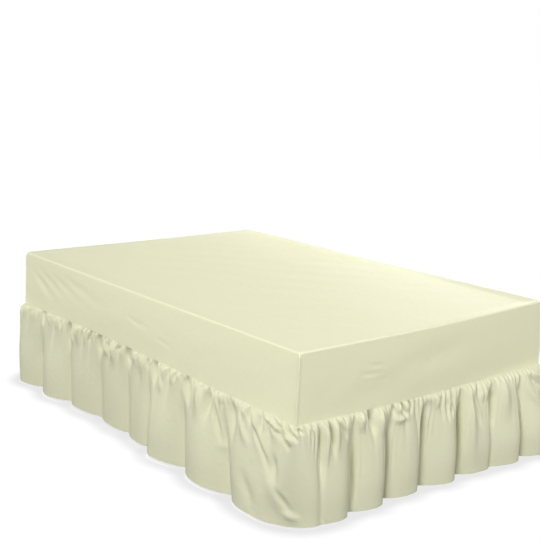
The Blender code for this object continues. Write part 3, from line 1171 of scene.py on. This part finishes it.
@dataclass(frozen=True)
class FrillDrape:
    """Works out how the frill hangs: its folds, and the pleats that gather it at the seam.

    Lengths are in metres. The rows of four values go by corner, from the one at the start of the
    left side, but skews go by side. Under the seam the cloth puffs out to the share puff of a
    fold's size over puff_length, and flares to its full size over flare_length. The folds part
    over fold_lengths, and spread and skews make them bulge and lean over. calm is the share of the
    medium pleats that stays on the left side and at the foot, where the creases are listed.
    """

    outline: BedOutline
    seam_height: float
    drop: float
    cover_corner: float = 0.010
    hem_corners: tuple[float, ...] = (0.060, 0.125, 0.090, 0.070)
    corner_puffs: tuple[float, ...] = (0.014, 0.000, 0.000, 0.000)
    puff_reach: float = 0.120
    tuck: float = 0.0014
    tuck_length: float = 0.004
    puff: float = 0.40
    puff_length: float = 0.014
    flare_length: float = 0.300
    fold_lengths: tuple[float, ...] = (0.250, 0.165, 0.090, 0.130)
    spread: float = 0.34
    skews: tuple[float, ...] = (-0.05, 0.12, 0.06, 0.06)
    skew_length: float = 0.120
    crest_power: float = 0.60
    rows: int = 60
    columns: int = 2600
    row_power: float = 1.35
    samples: int = 48
    facing_step: int = 3
    folds: tuple[tuple[Fold, ...], ...] = (
        (
            Fold(0.030, 0.048, 0.002, 0.01),
            Fold(0.290, 0.052, 0.000, 0.02),
            Fold(0.530, 0.024, -0.006, 0.01),
            Fold(0.790, 0.016, -0.006, 0.01),
            Fold(0.965, 0.020, 0.006, 0.01),
            Fold(1.125, 0.056, 0.004, 0.01),
            Fold(1.402, 0.056, 0.006, 0.04),
            Fold(1.630, 0.052, 0.044, 0.08),
        ),
        (
            Fold(0.015, 0.050, 0.042, 0.04),
            Fold(0.170, 0.054, 0.016, 0.01),
            Fold(0.360, 0.052, 0.004, 0.00),
            Fold(0.540, 0.044, 0.000, 0.00),
            Fold(0.738, 0.060, 0.008, 0.01),
            Fold(0.922, 0.062, 0.052, 0.00),
            Fold(1.113, 0.090, 0.046, 0.00),
            Fold(1.270, 0.106, 0.098, 0.02),
        ),
        (
            Fold(0.095, 0.048, 0.014, -0.02),
            Fold(0.315, 0.046, 0.004, -0.01),
            Fold(0.530, 0.050, 0.002, 0.01),
            Fold(0.735, 0.052, 0.010, 0.00),
            Fold(0.930, 0.060, 0.001, 0.02),
            Fold(1.180, 0.054, 0.006, 0.00),
            Fold(1.390, 0.050, 0.012, -0.01),
            Fold(1.590, 0.060, 0.006, 0.01),
            Fold(1.800, 0.054, 0.036, 0.02),
        ),
        (
            Fold(0.090, 0.064, 0.018, 0.02),
            Fold(0.290, 0.070, 0.006, 0.00),
            Fold(0.500, 0.084, 0.010, -0.01),
            Fold(0.680, 0.062, 0.004, 0.01),
            Fold(0.890, 0.088, 0.008, 0.00),
            Fold(1.090, 0.064, 0.010, -0.01),
            Fold(1.270, 0.056, 0.034, 0.02),
        ),
    )
    creases: tuple[tuple[Crease, ...], ...] = (LEFT_CREASES, FOOT_CREASES)
    medium: Pleats = Pleats(0.075, 0.50, 0.26, 0.040, 0.040, 0.160, 23)
    fine: Pleats = Pleats(0.026, 0.55, 0.30, 0.012, 0.010, 0.045, 11)
    calm: float = 0.55
    calm_edge: float = 0.05
    seam_pinch: float = 0.006
    slack: float = 1.012
    even_out: float = 0.025
    gathered: float = 0.10
    gather_reach: float = 0.060
    gather_waves: tuple[float, float] = (0.05, 0.30)
    gather_uneven: float = 0.5
    gather_seed: int = 6
    wall_inset: float = 0.009
    wall_corner: float = 0.080
    settling: Settling = Settling()

    def falls(self) -> np.ndarray:
        """How far each row is below the seam, in metres, closer together near the seam."""
        return self.drop * np.linspace(0.0, 1.0, self.rows) ** self.row_power

    def around(self) -> float:
        """The length of the seam, in metres."""
        return 2.0 * (self.outline.width + self.outline.length)

    def cloth(self) -> np.ndarray:
        """Where each column is along the seam, in metres."""
        return np.arange(self.columns) * self.around() / self.columns

    def fold_table(self, fall: float) -> tuple[np.ndarray, np.ndarray, np.ndarray]:
        """The folds at one height.

        Args:
            fall: How far below the seam.

        Returns:
            The place of each crest round the bed, and how far each crest and valley stands out.
        """
        places, crests, valleys = [], [], []
        for index, folds in enumerate(self.folds):
            length = 2.0 * self.outline.sides()[2][index]
            for fold in folds:
                places.append(index + (fold.at + fold.lean * fall / self.drop) / length)
                crests.append(fold.crest)
                valleys.append(fold.valley)
        return np.array(places), np.array(crests), np.array(valleys)

    def between_crests(
        self, here: np.ndarray, there: np.ndarray, share: np.ndarray, fall: float
    ) -> np.ndarray:
        """Spaces points out between one crest and the next, so that the folds bulge and lean over.

        Args:
            here: The place of the crest before each point.
            there: The place of the crest after it.
            share: The share of the cloth between them that comes before the point.
            fall: How far below the seam.

        Returns:
            The points' places round the bed.
        """
        swing = self.spread * np.sin(TURN * share) / TURN
        skew = np.array(self.skews)[np.floor(here).astype(int) % len(Wall)]
        skew = skew * smooth(np.array(fall / self.skew_length))
        return blend(here, there, share + swing - skew * np.sin(math.pi * share) ** 2)

    def corner_puff(self, place: np.ndarray, nearest: np.ndarray) -> np.ndarray:
        """How far the frill puffs out near the bed's corners.

        Args:
            place: Places round the bed.
            nearest: The corner that is nearest to each.

        Returns:
            The distances, in metres.
        """
        off = np.abs(self.outline.distance_at(place) - self.outline.distance_at(np.round(place)))
        return np.array(self.corner_puffs)[nearest] * np.exp(-((off / self.puff_reach) ** 2))

    def fold_curve(self, along: np.ndarray, fall: float) -> np.ndarray:
        """The frill in plan at one height, with its folds but not its pleats.

        Args:
            along: Places counted in folds: 2.5 is half way from the third crest to the fourth.
            fall: How far below the seam.

        Returns:
            The points in plan.
        """
        places, crests, valleys = self.fold_table(fall)
        count = len(places)
        index = np.floor(along).astype(int) % count
        share = along - np.floor(along)
        after = (index + 1) % count
        here = places[index]
        there = places[after] + np.where(after == 0, len(Wall), 0)
        place = self.between_crests(here, there, share, fall)

        wave = (0.5 + 0.5 * np.cos(TURN * share)) ** self.crest_power
        crest = blend(crests[index], crests[after], share)
        middles = crests / 2 + (valleys + np.roll(valleys, 1)) / 4
        middle = blend(middles[index], middles[after], share)
        puffed = 1.0 - math.exp(-fall / self.puff_length)
        flared = smooth(np.array(fall / self.flare_length))
        swell = self.puff * puffed + (1.0 - self.puff) * flared
        parted = smooth(fall / self.outline.between(self.fold_lengths, place))
        outward = swell * blend(middle, blend(valleys[index], crest, wave), parted)

        nearest = np.round(place).astype(int) % len(Wall)
        outward += self.corner_puff(place, nearest) * (puffed * (1.0 - flared))
        turned = np.array(self.hem_corners)[nearest]
        corner = blend(self.cover_corner, turned, smooth(np.array(fall / self.drop)))
        point, facing = self.outline.at(place, corner)
        tuck = self.tuck * math.exp(-fall / self.tuck_length)
        plan = point + facing * (outward + self.outline.bow(place) - tuck)[:, None]
        plan[:, 0] += self.outline.lean(place)
        return plan

    def hang_height(self, place: np.ndarray, fall: float) -> np.ndarray:
        """The height of the threads that hang at each place, which never reach the floor."""
        lift = self.outline.lift(place)
        return self.seam_height + lift - fall - np.minimum(lift, 0.0) * fall / self.drop

    def counted(self) -> np.ndarray:
        """Where each column is at the seam.

        Returns:
            The places counted in folds: 2.5 is half way from the third crest to the fourth.
        """
        crests = self.outline.distance_at(self.fold_table(0.0)[0])
        cloth = self.cloth()
        wrapped = np.where(cloth < crests[0], cloth + self.around(), cloth)
        crests = np.concatenate((crests, [crests[0] + self.around()]))
        return np.interp(wrapped, crests, np.arange(len(crests)))

    def fold_surface(self) -> tuple[np.ndarray, np.ndarray]:
        """The frill with its large folds alone, its threads hanging straight.

        Returns:
            Its points in rows and columns, and the way that each faces in plan.
        """
        counted, falls = self.counted(), self.falls()
        crests = self.outline.distance_at(self.fold_table(0.0)[0])
        count = len(crests)
        steps = np.arange(count)
        dense = np.arange(count * self.samples + 1) / self.samples
        place = self.outline.place_at(self.cloth())
        points = np.zeros((len(falls), self.columns, 3))
        facing = np.zeros((len(falls), self.columns, 3))
        for row, fall in enumerate(falls):
            curve = self.fold_curve(dense, fall)
            lengths = np.linalg.norm(np.diff(curve, axis=0), axis=1).reshape(count, self.samples)
            shares = np.cumsum(lengths, axis=1) / lengths.sum(axis=1, keepdims=True)
            reached = np.concatenate(([0.0], (shares + steps[:, None]).ravel()))
            plan = self.fold_curve(np.interp(counted, reached, dense), fall)
            step = self.facing_step
            tangent = np.roll(plan, -step, axis=0) - np.roll(plan, step, axis=0)
            tangent /= np.linalg.norm(tangent, axis=1, keepdims=True)
            facing[row, :, 0], facing[row, :, 1] = tangent[:, 1], -tangent[:, 0]
            points[row, :, :2] = plan
            points[row, :, 2] = self.hang_height(place, fall)
        return points, facing

    def relief(self) -> np.ndarray:
        """How far the creases and the pleats raise the frill from its large folds.

        Returns:
            The height in metres, in rows and columns.
        """
        cloth, falls, around = self.cloth(), self.falls(), self.around()
        crests = self.outline.distance_at(self.fold_table(0.0)[0])
        after = np.append(crests[1:], crests[0] + around)
        valleys = (crests + after) / 2
        valleys = np.concatenate(([valleys[-1] - around], valleys))
        medium_edges = self.medium.split(valleys)
        fine_edges = self.fine.split(medium_edges)
        place = self.outline.place_at(cloth)
        edge, calm_end = self.calm_edge, Wall.RIGHT.value
        stops = (0.0, edge, calm_end - edge, calm_end + edge)
        share = np.interp(place, stops, (1.0, self.calm, self.calm, 1.0))
        height = share * self.medium.height(medium_edges, cloth, falls)
        height += self.fine.height(fine_edges, cloth, falls)
        starts = np.concatenate(([0.0], np.cumsum(2.0 * self.outline.sides()[2])))
        for start, creases in zip(starts, self.creases):
            along = (cloth - start + around / 2) % around - around / 2
            height += crease_height(along[None, :], falls[:, None], creases)
        return height * (1.0 - np.exp(-falls / self.seam_pinch))[:, None]

    def even(self, lengths: np.ndarray) -> np.ndarray:
        """Evens out lengths of thread round the bed, in rows and columns."""
        spacing = self.around() / self.columns
        return keep_waves(lengths, smear_shares(self.even_out, self.columns, spacing))

    def hang(self) -> tuple[np.ndarray, np.ndarray]:
        """Hangs the frill.

        Returns:
            Its points, in rows down from the seam and columns round the bed, and the length of
            cloth from each column to the next.
        """
        cloth, falls = self.cloth(), self.falls()
        folds, facing = self.fold_surface()
        start = folds + facing * self.relief()[..., None]
        start[0] = folds[0]
        lengths = np.linalg.norm(np.roll(start, -1, axis=1) - start, axis=-1)
        uneven = ripples(cloth, np.zeros(1), 1.0, self.gather_waves, self.gather_seed)
        tight = self.gathered * np.exp(self.gather_uneven * uneven)
        packed = tight[None, :] * np.exp(-((falls[:, None] / self.gather_reach) ** 2))
        packed *= (1.0 - np.exp(-falls / self.seam_pinch))[:, None]
        threads = self.even(lengths) * (self.slack + packed)
        threads[0] = lengths[0]
        half_x = self.outline.width / 2 - self.wall_inset
        half_y = self.outline.length / 2 - self.wall_inset
        wall = BaseWall(half_x, half_y, self.wall_corner)
        return self.settling.settle(start, threads, wall), threads.mean(axis=0)


@dataclass(frozen=True)
class Frill:
    """The gathered band of cloth, sewn up from four lengths that meet in valleys."""

    drape: FrillDrape
    thickness: float = 0.0010
    hem: float = 0.013
    stitch_lift: float = 0.0001
    joins: tuple[tuple[str, int], ...] = (
        ("frill_left", 0),
        ("frill_foot", 9),
        ("frill_right", 16),
        ("frill_head", 25),
    )

    def join_columns(self) -> list[int]:
        """Finds where the lengths meet, half way between a crest and the next.

        Returns:
            The column at which each length starts.
        """
        distances = self.drape.outline.distance_at(self.drape.fold_table(0.0)[0])
        columns = []
        for _, fold in self.joins:
            middle = (distances[fold] + distances[fold + 1]) / 2
            columns.append(round(middle / self.drape.around() * self.drape.columns))
        return columns

    def build(
        self, cotton: bpy.types.Material, thread: bpy.types.Material
    ) -> list[bpy.types.Object]:
        """Builds the frill's four lengths and the stitches of its hem.

        Args:
            cotton: The cloth's material.
            thread: The sewing thread's material.

        Returns:
            The pieces.
        """
        points, threads = self.drape.hang()
        falls = self.drape.falls()
        starts = self.join_columns()
        pieces = []
        for (name, _), start, end in zip(self.joins, starts, starts[1:] + starts[:1]):
            count = (end - start) % self.drape.columns + 1
            columns = (start + np.arange(count)) % self.drape.columns
            flat = np.zeros((len(falls), count, 2))
            flat[:, 1:, 0] = np.cumsum(threads[columns[:-1]])[None, :]
            flat[..., 1] = -falls[:, None]
            piece = add_piece(Sheet(name, points[:, columns], flat).mesh(), cotton)
            thicken(piece, self.thickness)
            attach(piece, "root")
            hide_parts("frill")
            pieces.append(piece)
        row = int(np.argmin(np.abs(falls - (self.drape.drop - self.hem))))
        stitches = StitchRow("hem_stitches").lay(self.outer_line(points, row), thread)
        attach(stitches, "root")
        return pieces + [stitches]

    def outer_line(self, points: np.ndarray, row: int) -> np.ndarray:
        """A line of points on the frill's face, for stitches.

        Args:
            points: The frill's points.
            row: The row that the line follows.

        Returns:
            The points of the line.
        """
        line = points[row]
        tangent = np.roll(line, -1, axis=0) - np.roll(line, 1, axis=0)
        facing = np.stack((tangent[:, 1], -tangent[:, 0], np.zeros(len(line))), axis=1)
        return line + self.stitch_lift * facing / np.linalg.norm(facing, axis=1, keepdims=True)


# ---------------------------------------------------------------- the fitted cover
@dataclass(frozen=True)
class FittedCover:
    """The smooth cloth over the mattress: a flat top, four walls and four sewn corners."""

    outline: BedOutline
    seam_height: float
    top_height: float
    corner: float = 0.010
    edge: float = 0.007
    edge_steps: int = 8
    edge_lines: tuple[float, ...] = (0.018, 0.032, 0.046)
    settle: float = 0.058
    calm_rim: float = 0.06
    ripple: float = 0.0005
    wall_waves: tuple[float, float] = (0.09, 0.30)
    wall_seed: int = 40
    top_waves: tuple[float, float] = (0.14, 0.45)
    top_seed: int = 51
    swell: float = 0.004
    pinch: float = 0.0055
    pinch_width: float = 0.0042
    cell: float = 0.0135
    wall_rows: int = 44
    thickness: float = 0.0010
    drags: tuple[tuple[Crease, ...], ...] = (
        (
            Crease((0.02, 0.205), (0.34, 0.030), -0.0040, 0.016, 0.030),
            Crease((0.05, 0.225), (0.44, 0.070), -0.0040, 0.014, 0.028),
            Crease((0.11, 0.232), (0.58, 0.085), -0.0036, 0.014, 0.030),
            Crease((0.20, 0.230), (0.78, 0.110), -0.0030, 0.016, 0.032),
            Crease((0.86, 0.142), (1.01, 0.104), -0.0024, 0.006, 0.007),
            Crease((0.93, 0.138), (1.04, 0.114), -0.0016, 0.005, 0.006),
            Crease((1.05, 0.098), (1.22, 0.074), -0.0016, 0.007, 0.008),
        ),
        (
            Crease((0.29, 0.168), (0.42, 0.152), -0.0020, 0.007, 0.008, bend=0.004),
            Crease((0.25, 0.140), (0.42, 0.122), -0.0022, 0.008, 0.009, bend=0.004),
            Crease((0.29, 0.104), (0.47, 0.100), -0.0016, 0.010, 0.012),
            Crease((0.42, 0.120), (0.95, 0.170), -0.0035, 0.042, 0.050),
            Crease((0.16, 0.050), (0.60, 0.075), -0.0025, 0.030, 0.038),
        ),
        (
            Crease((0.30, 0.200), (0.80, 0.060), -0.0035, 0.040, 0.050),
            Crease((1.15, 0.060), (1.70, 0.210), -0.0040, 0.045, 0.055),
        ),
        (Crease((0.35, 0.150), (0.95, 0.090), -0.0035, 0.040, 0.050),),
    )

    def insets(self) -> np.ndarray:
        """Spaces out the grid lines that round the edge and the corner.

        Returns:
            How far each is in from a wall, in metres.
        """
        steps = np.arange(self.edge_steps + 1) / self.edge_steps
        rounded = self.edge * (1.0 - np.cos(steps * math.radians(90)))
        return np.concatenate((rounded, self.edge_lines))

    def lines(self, half: float) -> np.ndarray:
        """The grid lines across the top, from one wall to the other.

        Args:
            half: How far the walls are from the middle.

        Returns:
            Where the lines are.
        """
        near = -half + self.insets()
        count = math.ceil(2 * abs(near[-1]) / self.cell)
        middle = np.linspace(near[-1], -near[-1], count + 1)[1:-1]
        return np.concatenate((near, middle, -near[::-1]))

    def wall_height(self, index: int, run: np.ndarray, height: np.ndarray) -> np.ndarray:
        """How far the creases and the ripples of one wall raise it.

        Args:
            index: Which wall it is, in the order of Wall.
            run: Places along the wall from its middle, in metres.
            height: Heights above the seam, in metres.

        Returns:
            The height of the relief, in metres.
        """
        along = run + self.outline.sides()[2][index]
        dents = crease_height(along, height, self.drags[index])
        return dents + ripples(along, height, self.ripple, self.wall_waves, self.wall_seed + index)

    def build(self, cotton: bpy.types.Material) -> bpy.types.Object:
        """Builds the cover.

        Args:
            cotton: The cloth's material.

        Returns:
            The cover, as one piece.
        """
        xs, ys = self.lines(self.outline.width / 2), self.lines(self.outline.length / 2)
        top = self.top_points(xs, ys)
        index = np.arange(len(xs) * len(ys)).reshape(len(ys), len(xs))
        top_quads = (index[:-1, :-1], index[:-1, 1:], index[1:, 1:], index[1:, :-1])
        rim, place = self.rim(index, xs, ys)
        wall, flat_wall = self.wall_points(place)
        lower = index.size + np.arange(wall.shape[0] * wall.shape[1]).reshape(wall.shape[:2])
        ring = np.concatenate((rim[None, :], lower), axis=0)
        after = np.roll(ring, -1, axis=1)
        wall_quads = (ring[:-1], ring[1:], after[1:], after[:-1])
        quads = [np.stack(corners, axis=-1).reshape(-1, 4) for corners in (top_quads, wall_quads)]

        flat_top = np.stack(np.meshgrid(xs, ys), axis=-1)
        flat = np.concatenate((flat_top.reshape(-1, 2), flat_wall.reshape(-1, 2)))
        points = np.concatenate((top.reshape(-1, 3), wall.reshape(-1, 3)))
        cover = add_piece(mesh_of("cover_cloth", points, np.concatenate(quads), flat), cotton)
        thicken(cover, self.thickness)
        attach(cover, "root")
        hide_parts("fitted_cover")
        return cover

    def top_points(self, xs: np.ndarray, ys: np.ndarray) -> np.ndarray:
        """The points of the top, down to where its rounded edge meets the walls.

        Args:
            xs: The grid lines across the bed.
            ys: The grid lines along it.

        Returns:
            The points, in rows along the bed and columns across it.
        """
        half_x, half_y = self.outline.width / 2, self.outline.length / 2
        x, y = np.meshgrid(xs, ys)
        a = np.abs(x) - (half_x - self.corner)
        b = np.abs(y) - (half_y - self.corner)
        far = np.maximum(a, b)
        in_corner = (a > 0) & (b > 0)
        near = np.minimum(a, b)
        angle = math.radians(45) * near / np.where(far > 0, far, 1.0)
        long_arm, short_arm = far * np.cos(angle), far * np.sin(angle)
        round_a = np.where(a >= b, long_arm, short_arm)
        round_b = np.where(a >= b, short_arm, long_arm)
        flat_x = np.where(in_corner, np.sign(x) * (half_x - self.corner + round_a), x)
        flat_y = np.where(in_corner, np.sign(y) * (half_y - self.corner + round_b), y)

        inset = np.maximum(0.0, self.corner - far)
        place = self.nearest_place(x, y)
        settled = 1.0 - smooth(inset / self.settle)
        bow = self.outline.bow(place) * settled
        _, facing = self.outline.at(place, np.full(place.shape, self.corner))
        rest = np.minimum(inset, self.edge) - self.edge
        z = self.top_height - self.edge + np.sqrt(np.maximum(0.0, self.edge**2 - rest**2))
        z = z - self.outline.dip(place) * settled
        z = z + self.top_relief(x, y) * smooth(inset / self.calm_rim)
        return np.stack((flat_x + facing[..., 0] * bow, flat_y + facing[..., 1] * bow, z), axis=-1)

    def top_relief(self, x: np.ndarray, y: np.ndarray) -> np.ndarray:
        """The shallow ripples of the top, in metres."""
        return ripples(x, y, self.ripple, self.top_waves, self.top_seed)

    def nearest_place(self, x: np.ndarray, y: np.ndarray) -> np.ndarray:
        """The place round the bed that is nearest to each point of the top.

        Args:
            x: The points across the bed.
            y: The points along it.

        Returns:
            The places.
        """
        half_x, half_y = self.outline.width / 2, self.outline.length / 2
        to_side, to_end = half_x - np.abs(x), half_y - np.abs(y)
        left, foot = 0.5 - y / (2 * half_y), 1.5 + x / (2 * half_x)
        right, head = 2.5 + y / (2 * half_y), 3.5 - x / (2 * half_x)
        side = np.where(x < 0, left, right)
        end = np.where(y < 0, foot, head)
        return np.clip(np.where(to_side < to_end, side, end), 0.0, len(Wall) - TINY)

    def rim(
        self, index: np.ndarray, xs: np.ndarray, ys: np.ndarray
    ) -> tuple[np.ndarray, np.ndarray]:
        """The points round the border of the top.

        Args:
            index: The top's points.
            xs: The grid lines across the bed.
            ys: The grid lines along it.

        Returns:
            The border's points in the order of the walls, and each one's place round the bed.
        """
        half_x, half_y = self.outline.width / 2, self.outline.length / 2
        borders = (index[::-1, 0], index[0, :], index[:, -1], index[-1, ::-1])
        rim = np.concatenate([border[:-1] for border in borders])
        place = np.concatenate((
            0.5 - ys[::-1][:-1] / (2 * half_y),
            1.5 + xs[:-1] / (2 * half_x),
            2.5 + ys[:-1] / (2 * half_y),
            3.5 - xs[::-1][:-1] / (2 * half_x),
        ))
        return rim, place

    def wall_points(self, place: np.ndarray) -> tuple[np.ndarray, np.ndarray]:
        """The points of the walls, in rows down from the rounded edge.

        Args:
            place: The place of each column round the bed.

        Returns:
            The points, and where each lies on the flat cloth.
        """
        drop = self.top_height - self.seam_height
        index, share = self.outline.split(place)
        half = self.outline.sides()[2][index]
        run = (2.0 * share - 1.0) * half
        point, facing = self.outline.at(place, np.full(place.shape, self.corner))
        heights = np.linspace(drop - self.edge, 0.0, self.wall_rows + 1)[1:]
        up = heights[:, None] / drop
        on_wall = np.sin(np.pi * up)
        relief = np.zeros((len(heights), len(place)))
        for wall in Wall:
            chosen = index == wall.value
            relief[:, chosen] = self.wall_height(wall.value, run[chosen][None, :], heights[:, None])
        outward = (self.swell * np.sin(np.pi * share) ** 0.5 + relief) * on_wall
        outward = outward + self.outline.bow(place)
        outward = outward + self.pinch * np.exp(-(((half - np.abs(run)) / self.pinch_width) ** 2))
        settled = self.outline.dip(place) * smooth(2.0 * up - 1.0)
        z = self.seam_height + heights[:, None] + self.outline.lift(place) * (1.0 - up) - settled
        plan = point[None] + facing[None] * outward[..., None]
        plan[..., 0] += self.outline.lean(place) * (1.0 - up)
        flat = point[None] + facing[None] * (drop - heights)[:, None, None]
        return np.concatenate((plan, z[..., None]), axis=-1), np.broadcast_to(flat, plan.shape)


# ---------------------------------------------------------------- what the cloth hides
@dataclass(frozen=True)
class HiddenBed:
    """The mattress, the divan base and its feet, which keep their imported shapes."""

    mattress: TickingFinish = TickingFinish()
    base: GrainFinish = BASE_CLOTH
    foot: GrainFinish = FOOT_PLASTIC

    def dress(self) -> None:
        """Gives each node its finish."""
        finishes = {"mattress": self.mattress.build(), "divan_base": self.base.build()}
        plastic = self.foot.build()
        feet = [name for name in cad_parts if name.startswith("foot_")]
        finishes.update(dict.fromkeys(feet, plastic))
        for name, material in finishes.items():
            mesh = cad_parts[name].data
            mesh.materials.clear()
            mesh.materials.append(material)


# ---------------------------------------------------------------- the studio
@dataclass(frozen=True)
class Lamp:
    """A square soft light: where it hangs, the length of its sides and its power in watts."""

    name: str
    place: tuple[float, float, float]
    size: float
    power: float


@dataclass(frozen=True)
class Studio:
    """A pale floor, soft lights and the camera."""

    yaw: float = 0.7174
    pitch: float = 0.2109
    roll: float = 0.0506
    eye: tuple[float, float, float] = (-2.7939, -3.2093, 1.5536)
    lens_mm: float = 66.17
    sensor_mm: float = 36.0
    aim: tuple[float, float, float] = (0.0, 0.0, 0.3)
    lamps: tuple[Lamp, ...] = (
        Lamp("key", (-8.47, -4.89, 2.38), 3.0, 500.0),
        Lamp("high", (-3.66, -2.11, 9.36), 3.5, 570.0),
        Lamp("fill", (3.97, -8.52, 3.72), 3.5, 335.0),
        Lamp("front", (0.00, -9.78, 2.38), 3.0, 112.0),
        Lamp("back", (-7.49, 6.29, 2.38), 2.2, 210.0),
        Lamp("right", (3.31, 1.20, 1.05), 1.5, 200.0),
    )
    sky_stops: tuple[tuple[float, float], ...] = (
        (-1.00, 0.00),
        (-0.04, 0.00),
        (-0.01, 1.00),
        (0.08, 1.00),
        (0.12, 0.00),
        (1.00, 0.00),
    )
    floor_reach: float = 400.0
    floor_colour: tuple[float, float, float] = (0.02, 0.02, 0.02)
    # shade_* and under_* set the painted shadow that ambient occlusion dims into the floor's glow
    shade_glow: float = 0.78
    shade_fall: float = 0.30
    shade_reach: float = 0.085
    under_reach: float = 0.60
    under_open: float = 0.30
    under_rise: float = 5.0

    def camera(self) -> bpy.types.Object:
        """Sets up the camera.

        Returns:
            The camera.
        """
        data = bpy.data.cameras.new("camera")
        data.sensor_width = self.sensor_mm
        data.lens = self.lens_mm
        camera = bpy.data.objects.new("camera", data)
        bpy.context.scene.collection.objects.link(camera)
        forward = Vector((
            math.sin(self.yaw) * math.cos(self.pitch),
            math.cos(self.yaw) * math.cos(self.pitch),
            -math.sin(self.pitch),
        ))
        level = Vector((math.cos(self.yaw), -math.sin(self.yaw), 0.0))
        upright = level.cross(forward)
        right = level * math.cos(self.roll) + upright * math.sin(self.roll)
        up = upright * math.cos(self.roll) - level * math.sin(self.roll)
        turn = Matrix((right, up, -forward)).transposed().to_4x4()
        camera.matrix_world = Matrix.Translation(self.eye) @ turn
        bpy.context.scene.camera = camera
        return camera

    def light(self, lamp: Lamp) -> bpy.types.Object:
        """Hangs a square soft light that the camera doesn't see.

        Args:
            lamp: Where it hangs, its size and its power.

        Returns:
            The light.
        """
        data = bpy.data.lights.new(lamp.name, "AREA")
        data.size = lamp.size
        data.energy = lamp.power
        light = bpy.data.objects.new(lamp.name, data)
        bpy.context.scene.collection.objects.link(light)
        light.location = lamp.place
        light.visible_camera = False
        way = Vector(lamp.place) - Vector(self.aim)
        light.rotation_euler = way.to_track_quat("Z", "Y").to_euler()
        return light

    def sky(self) -> bpy.types.World:
        """Makes the light that comes from all round, from a bright band at the horizon.

        Returns:
            The world.
        """
        world = bpy.data.worlds.new("studio")
        world.use_nodes = True
        tree = world.node_tree
        background = tree.nodes["Background"]
        place = tree.nodes.new("ShaderNodeTexCoord")
        split = tree.nodes.new("ShaderNodeSeparateXYZ")
        height = tree.nodes.new("ShaderNodeMapRange")
        height.inputs["From Min"].default_value = -1.0
        grade = tree.nodes.new("ShaderNodeValToRGB")
        ramp = grade.color_ramp
        ramp.elements.remove(ramp.elements[1])
        for number, (rise, strength) in enumerate(self.sky_stops):
            stop = ramp.elements.new((rise + 1.0) / 2.0) if number else ramp.elements[0]
            stop.position = (rise + 1.0) / 2.0
            stop.color = (strength, strength, strength, 1.0)
        tree.links.new(place.outputs["Generated"], split.inputs[0])
        tree.links.new(split.outputs["Z"], height.inputs["Value"])
        tree.links.new(height.outputs["Result"], grade.inputs["Fac"])
        tree.links.new(grade.outputs["Color"], background.inputs["Color"])
        bpy.context.scene.world = world
        return world

    def floor(self) -> bpy.types.Object:
        """Lays the floor, a white glowing sheet.

        Its glow is dimmed by ambient occlusion into a painted shadow close to the frill, and it is
        as dark as that painted shade all over where the bed covers it.

        Returns:
            The floor.
        """
        mesh = bpy.data.meshes.new("floor")
        reach = self.floor_reach
        corners = [(-reach, -reach, 0), (reach, -reach, 0), (reach, reach, 0), (-reach, reach, 0)]
        mesh.from_pydata(corners, [], [(0, 1, 2, 3)])
        nodes = Nodes("floor")
        shader = nodes.shader
        shader.inputs["Base Color"].default_value = (*self.floor_colour, 1.0)
        shader.inputs["Emission Color"].default_value = (1.0, 1.0, 1.0, 1.0)
        shader.inputs["Roughness"].default_value = 1.0
        shader.inputs["Specular IOR Level"].default_value = 0.0
        # painted shadow: ambient occlusion dims the glow close to the frill and under the bed
        near = nodes.add("AmbientOcclusion", distance=self.shade_reach).outputs["AO"]
        glow = nodes.maths("MULTIPLY", near, 1.0 - self.shade_fall)
        glow = nodes.maths("ADD", glow, self.shade_fall)
        glow = nodes.maths("MAXIMUM", glow, self.shade_glow)
        under = nodes.add("AmbientOcclusion", distance=self.under_reach).outputs["AO"]
        start = self.shade_glow - self.under_rise * self.under_open
        cap = nodes.maths("MULTIPLY_ADD", under, self.under_rise, start)
        cap = nodes.maths("MAXIMUM", cap, self.shade_glow)
        nodes.join(nodes.maths("MINIMUM", glow, cap), shader.inputs["Emission Strength"])
        floor = add_piece(mesh, nodes.material)
        floor.visible_diffuse = False
        return floor

    def build(self) -> None:
        """Builds the studio."""
        bpy.context.scene.view_settings.view_transform = "Standard"
        self.sky()
        self.floor()
        self.camera()
        for lamp in self.lamps:
            self.light(lamp)


def main() -> None:
    """Builds every piece in order."""
    logging.basicConfig(level=logging.INFO, format="%(message)s")
    seam_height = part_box("mattress")[0].z
    top_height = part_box("mattress")[1].z + COVER_REST
    hem_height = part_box("frill")[0].z
    outline = BedOutline()
    thread = THREAD.build()

    drape = FrillDrape(outline, seam_height, seam_height - hem_height)
    cover = FittedCover(outline, seam_height, top_height)
    pieces = [cover.build(COTTON.build())]
    # the frill takes the darker copy of the cotton, which paints in the shade of its folds
    pieces += Frill(drape).build(SHADED_COTTON.build(), thread)
    for piece in pieces:
        LOG.info("%s: %d faces", piece.name, len(piece.data.polygons))
    HiddenBed().dress()
    Studio().build()


if __name__ == "__main__":
    main()
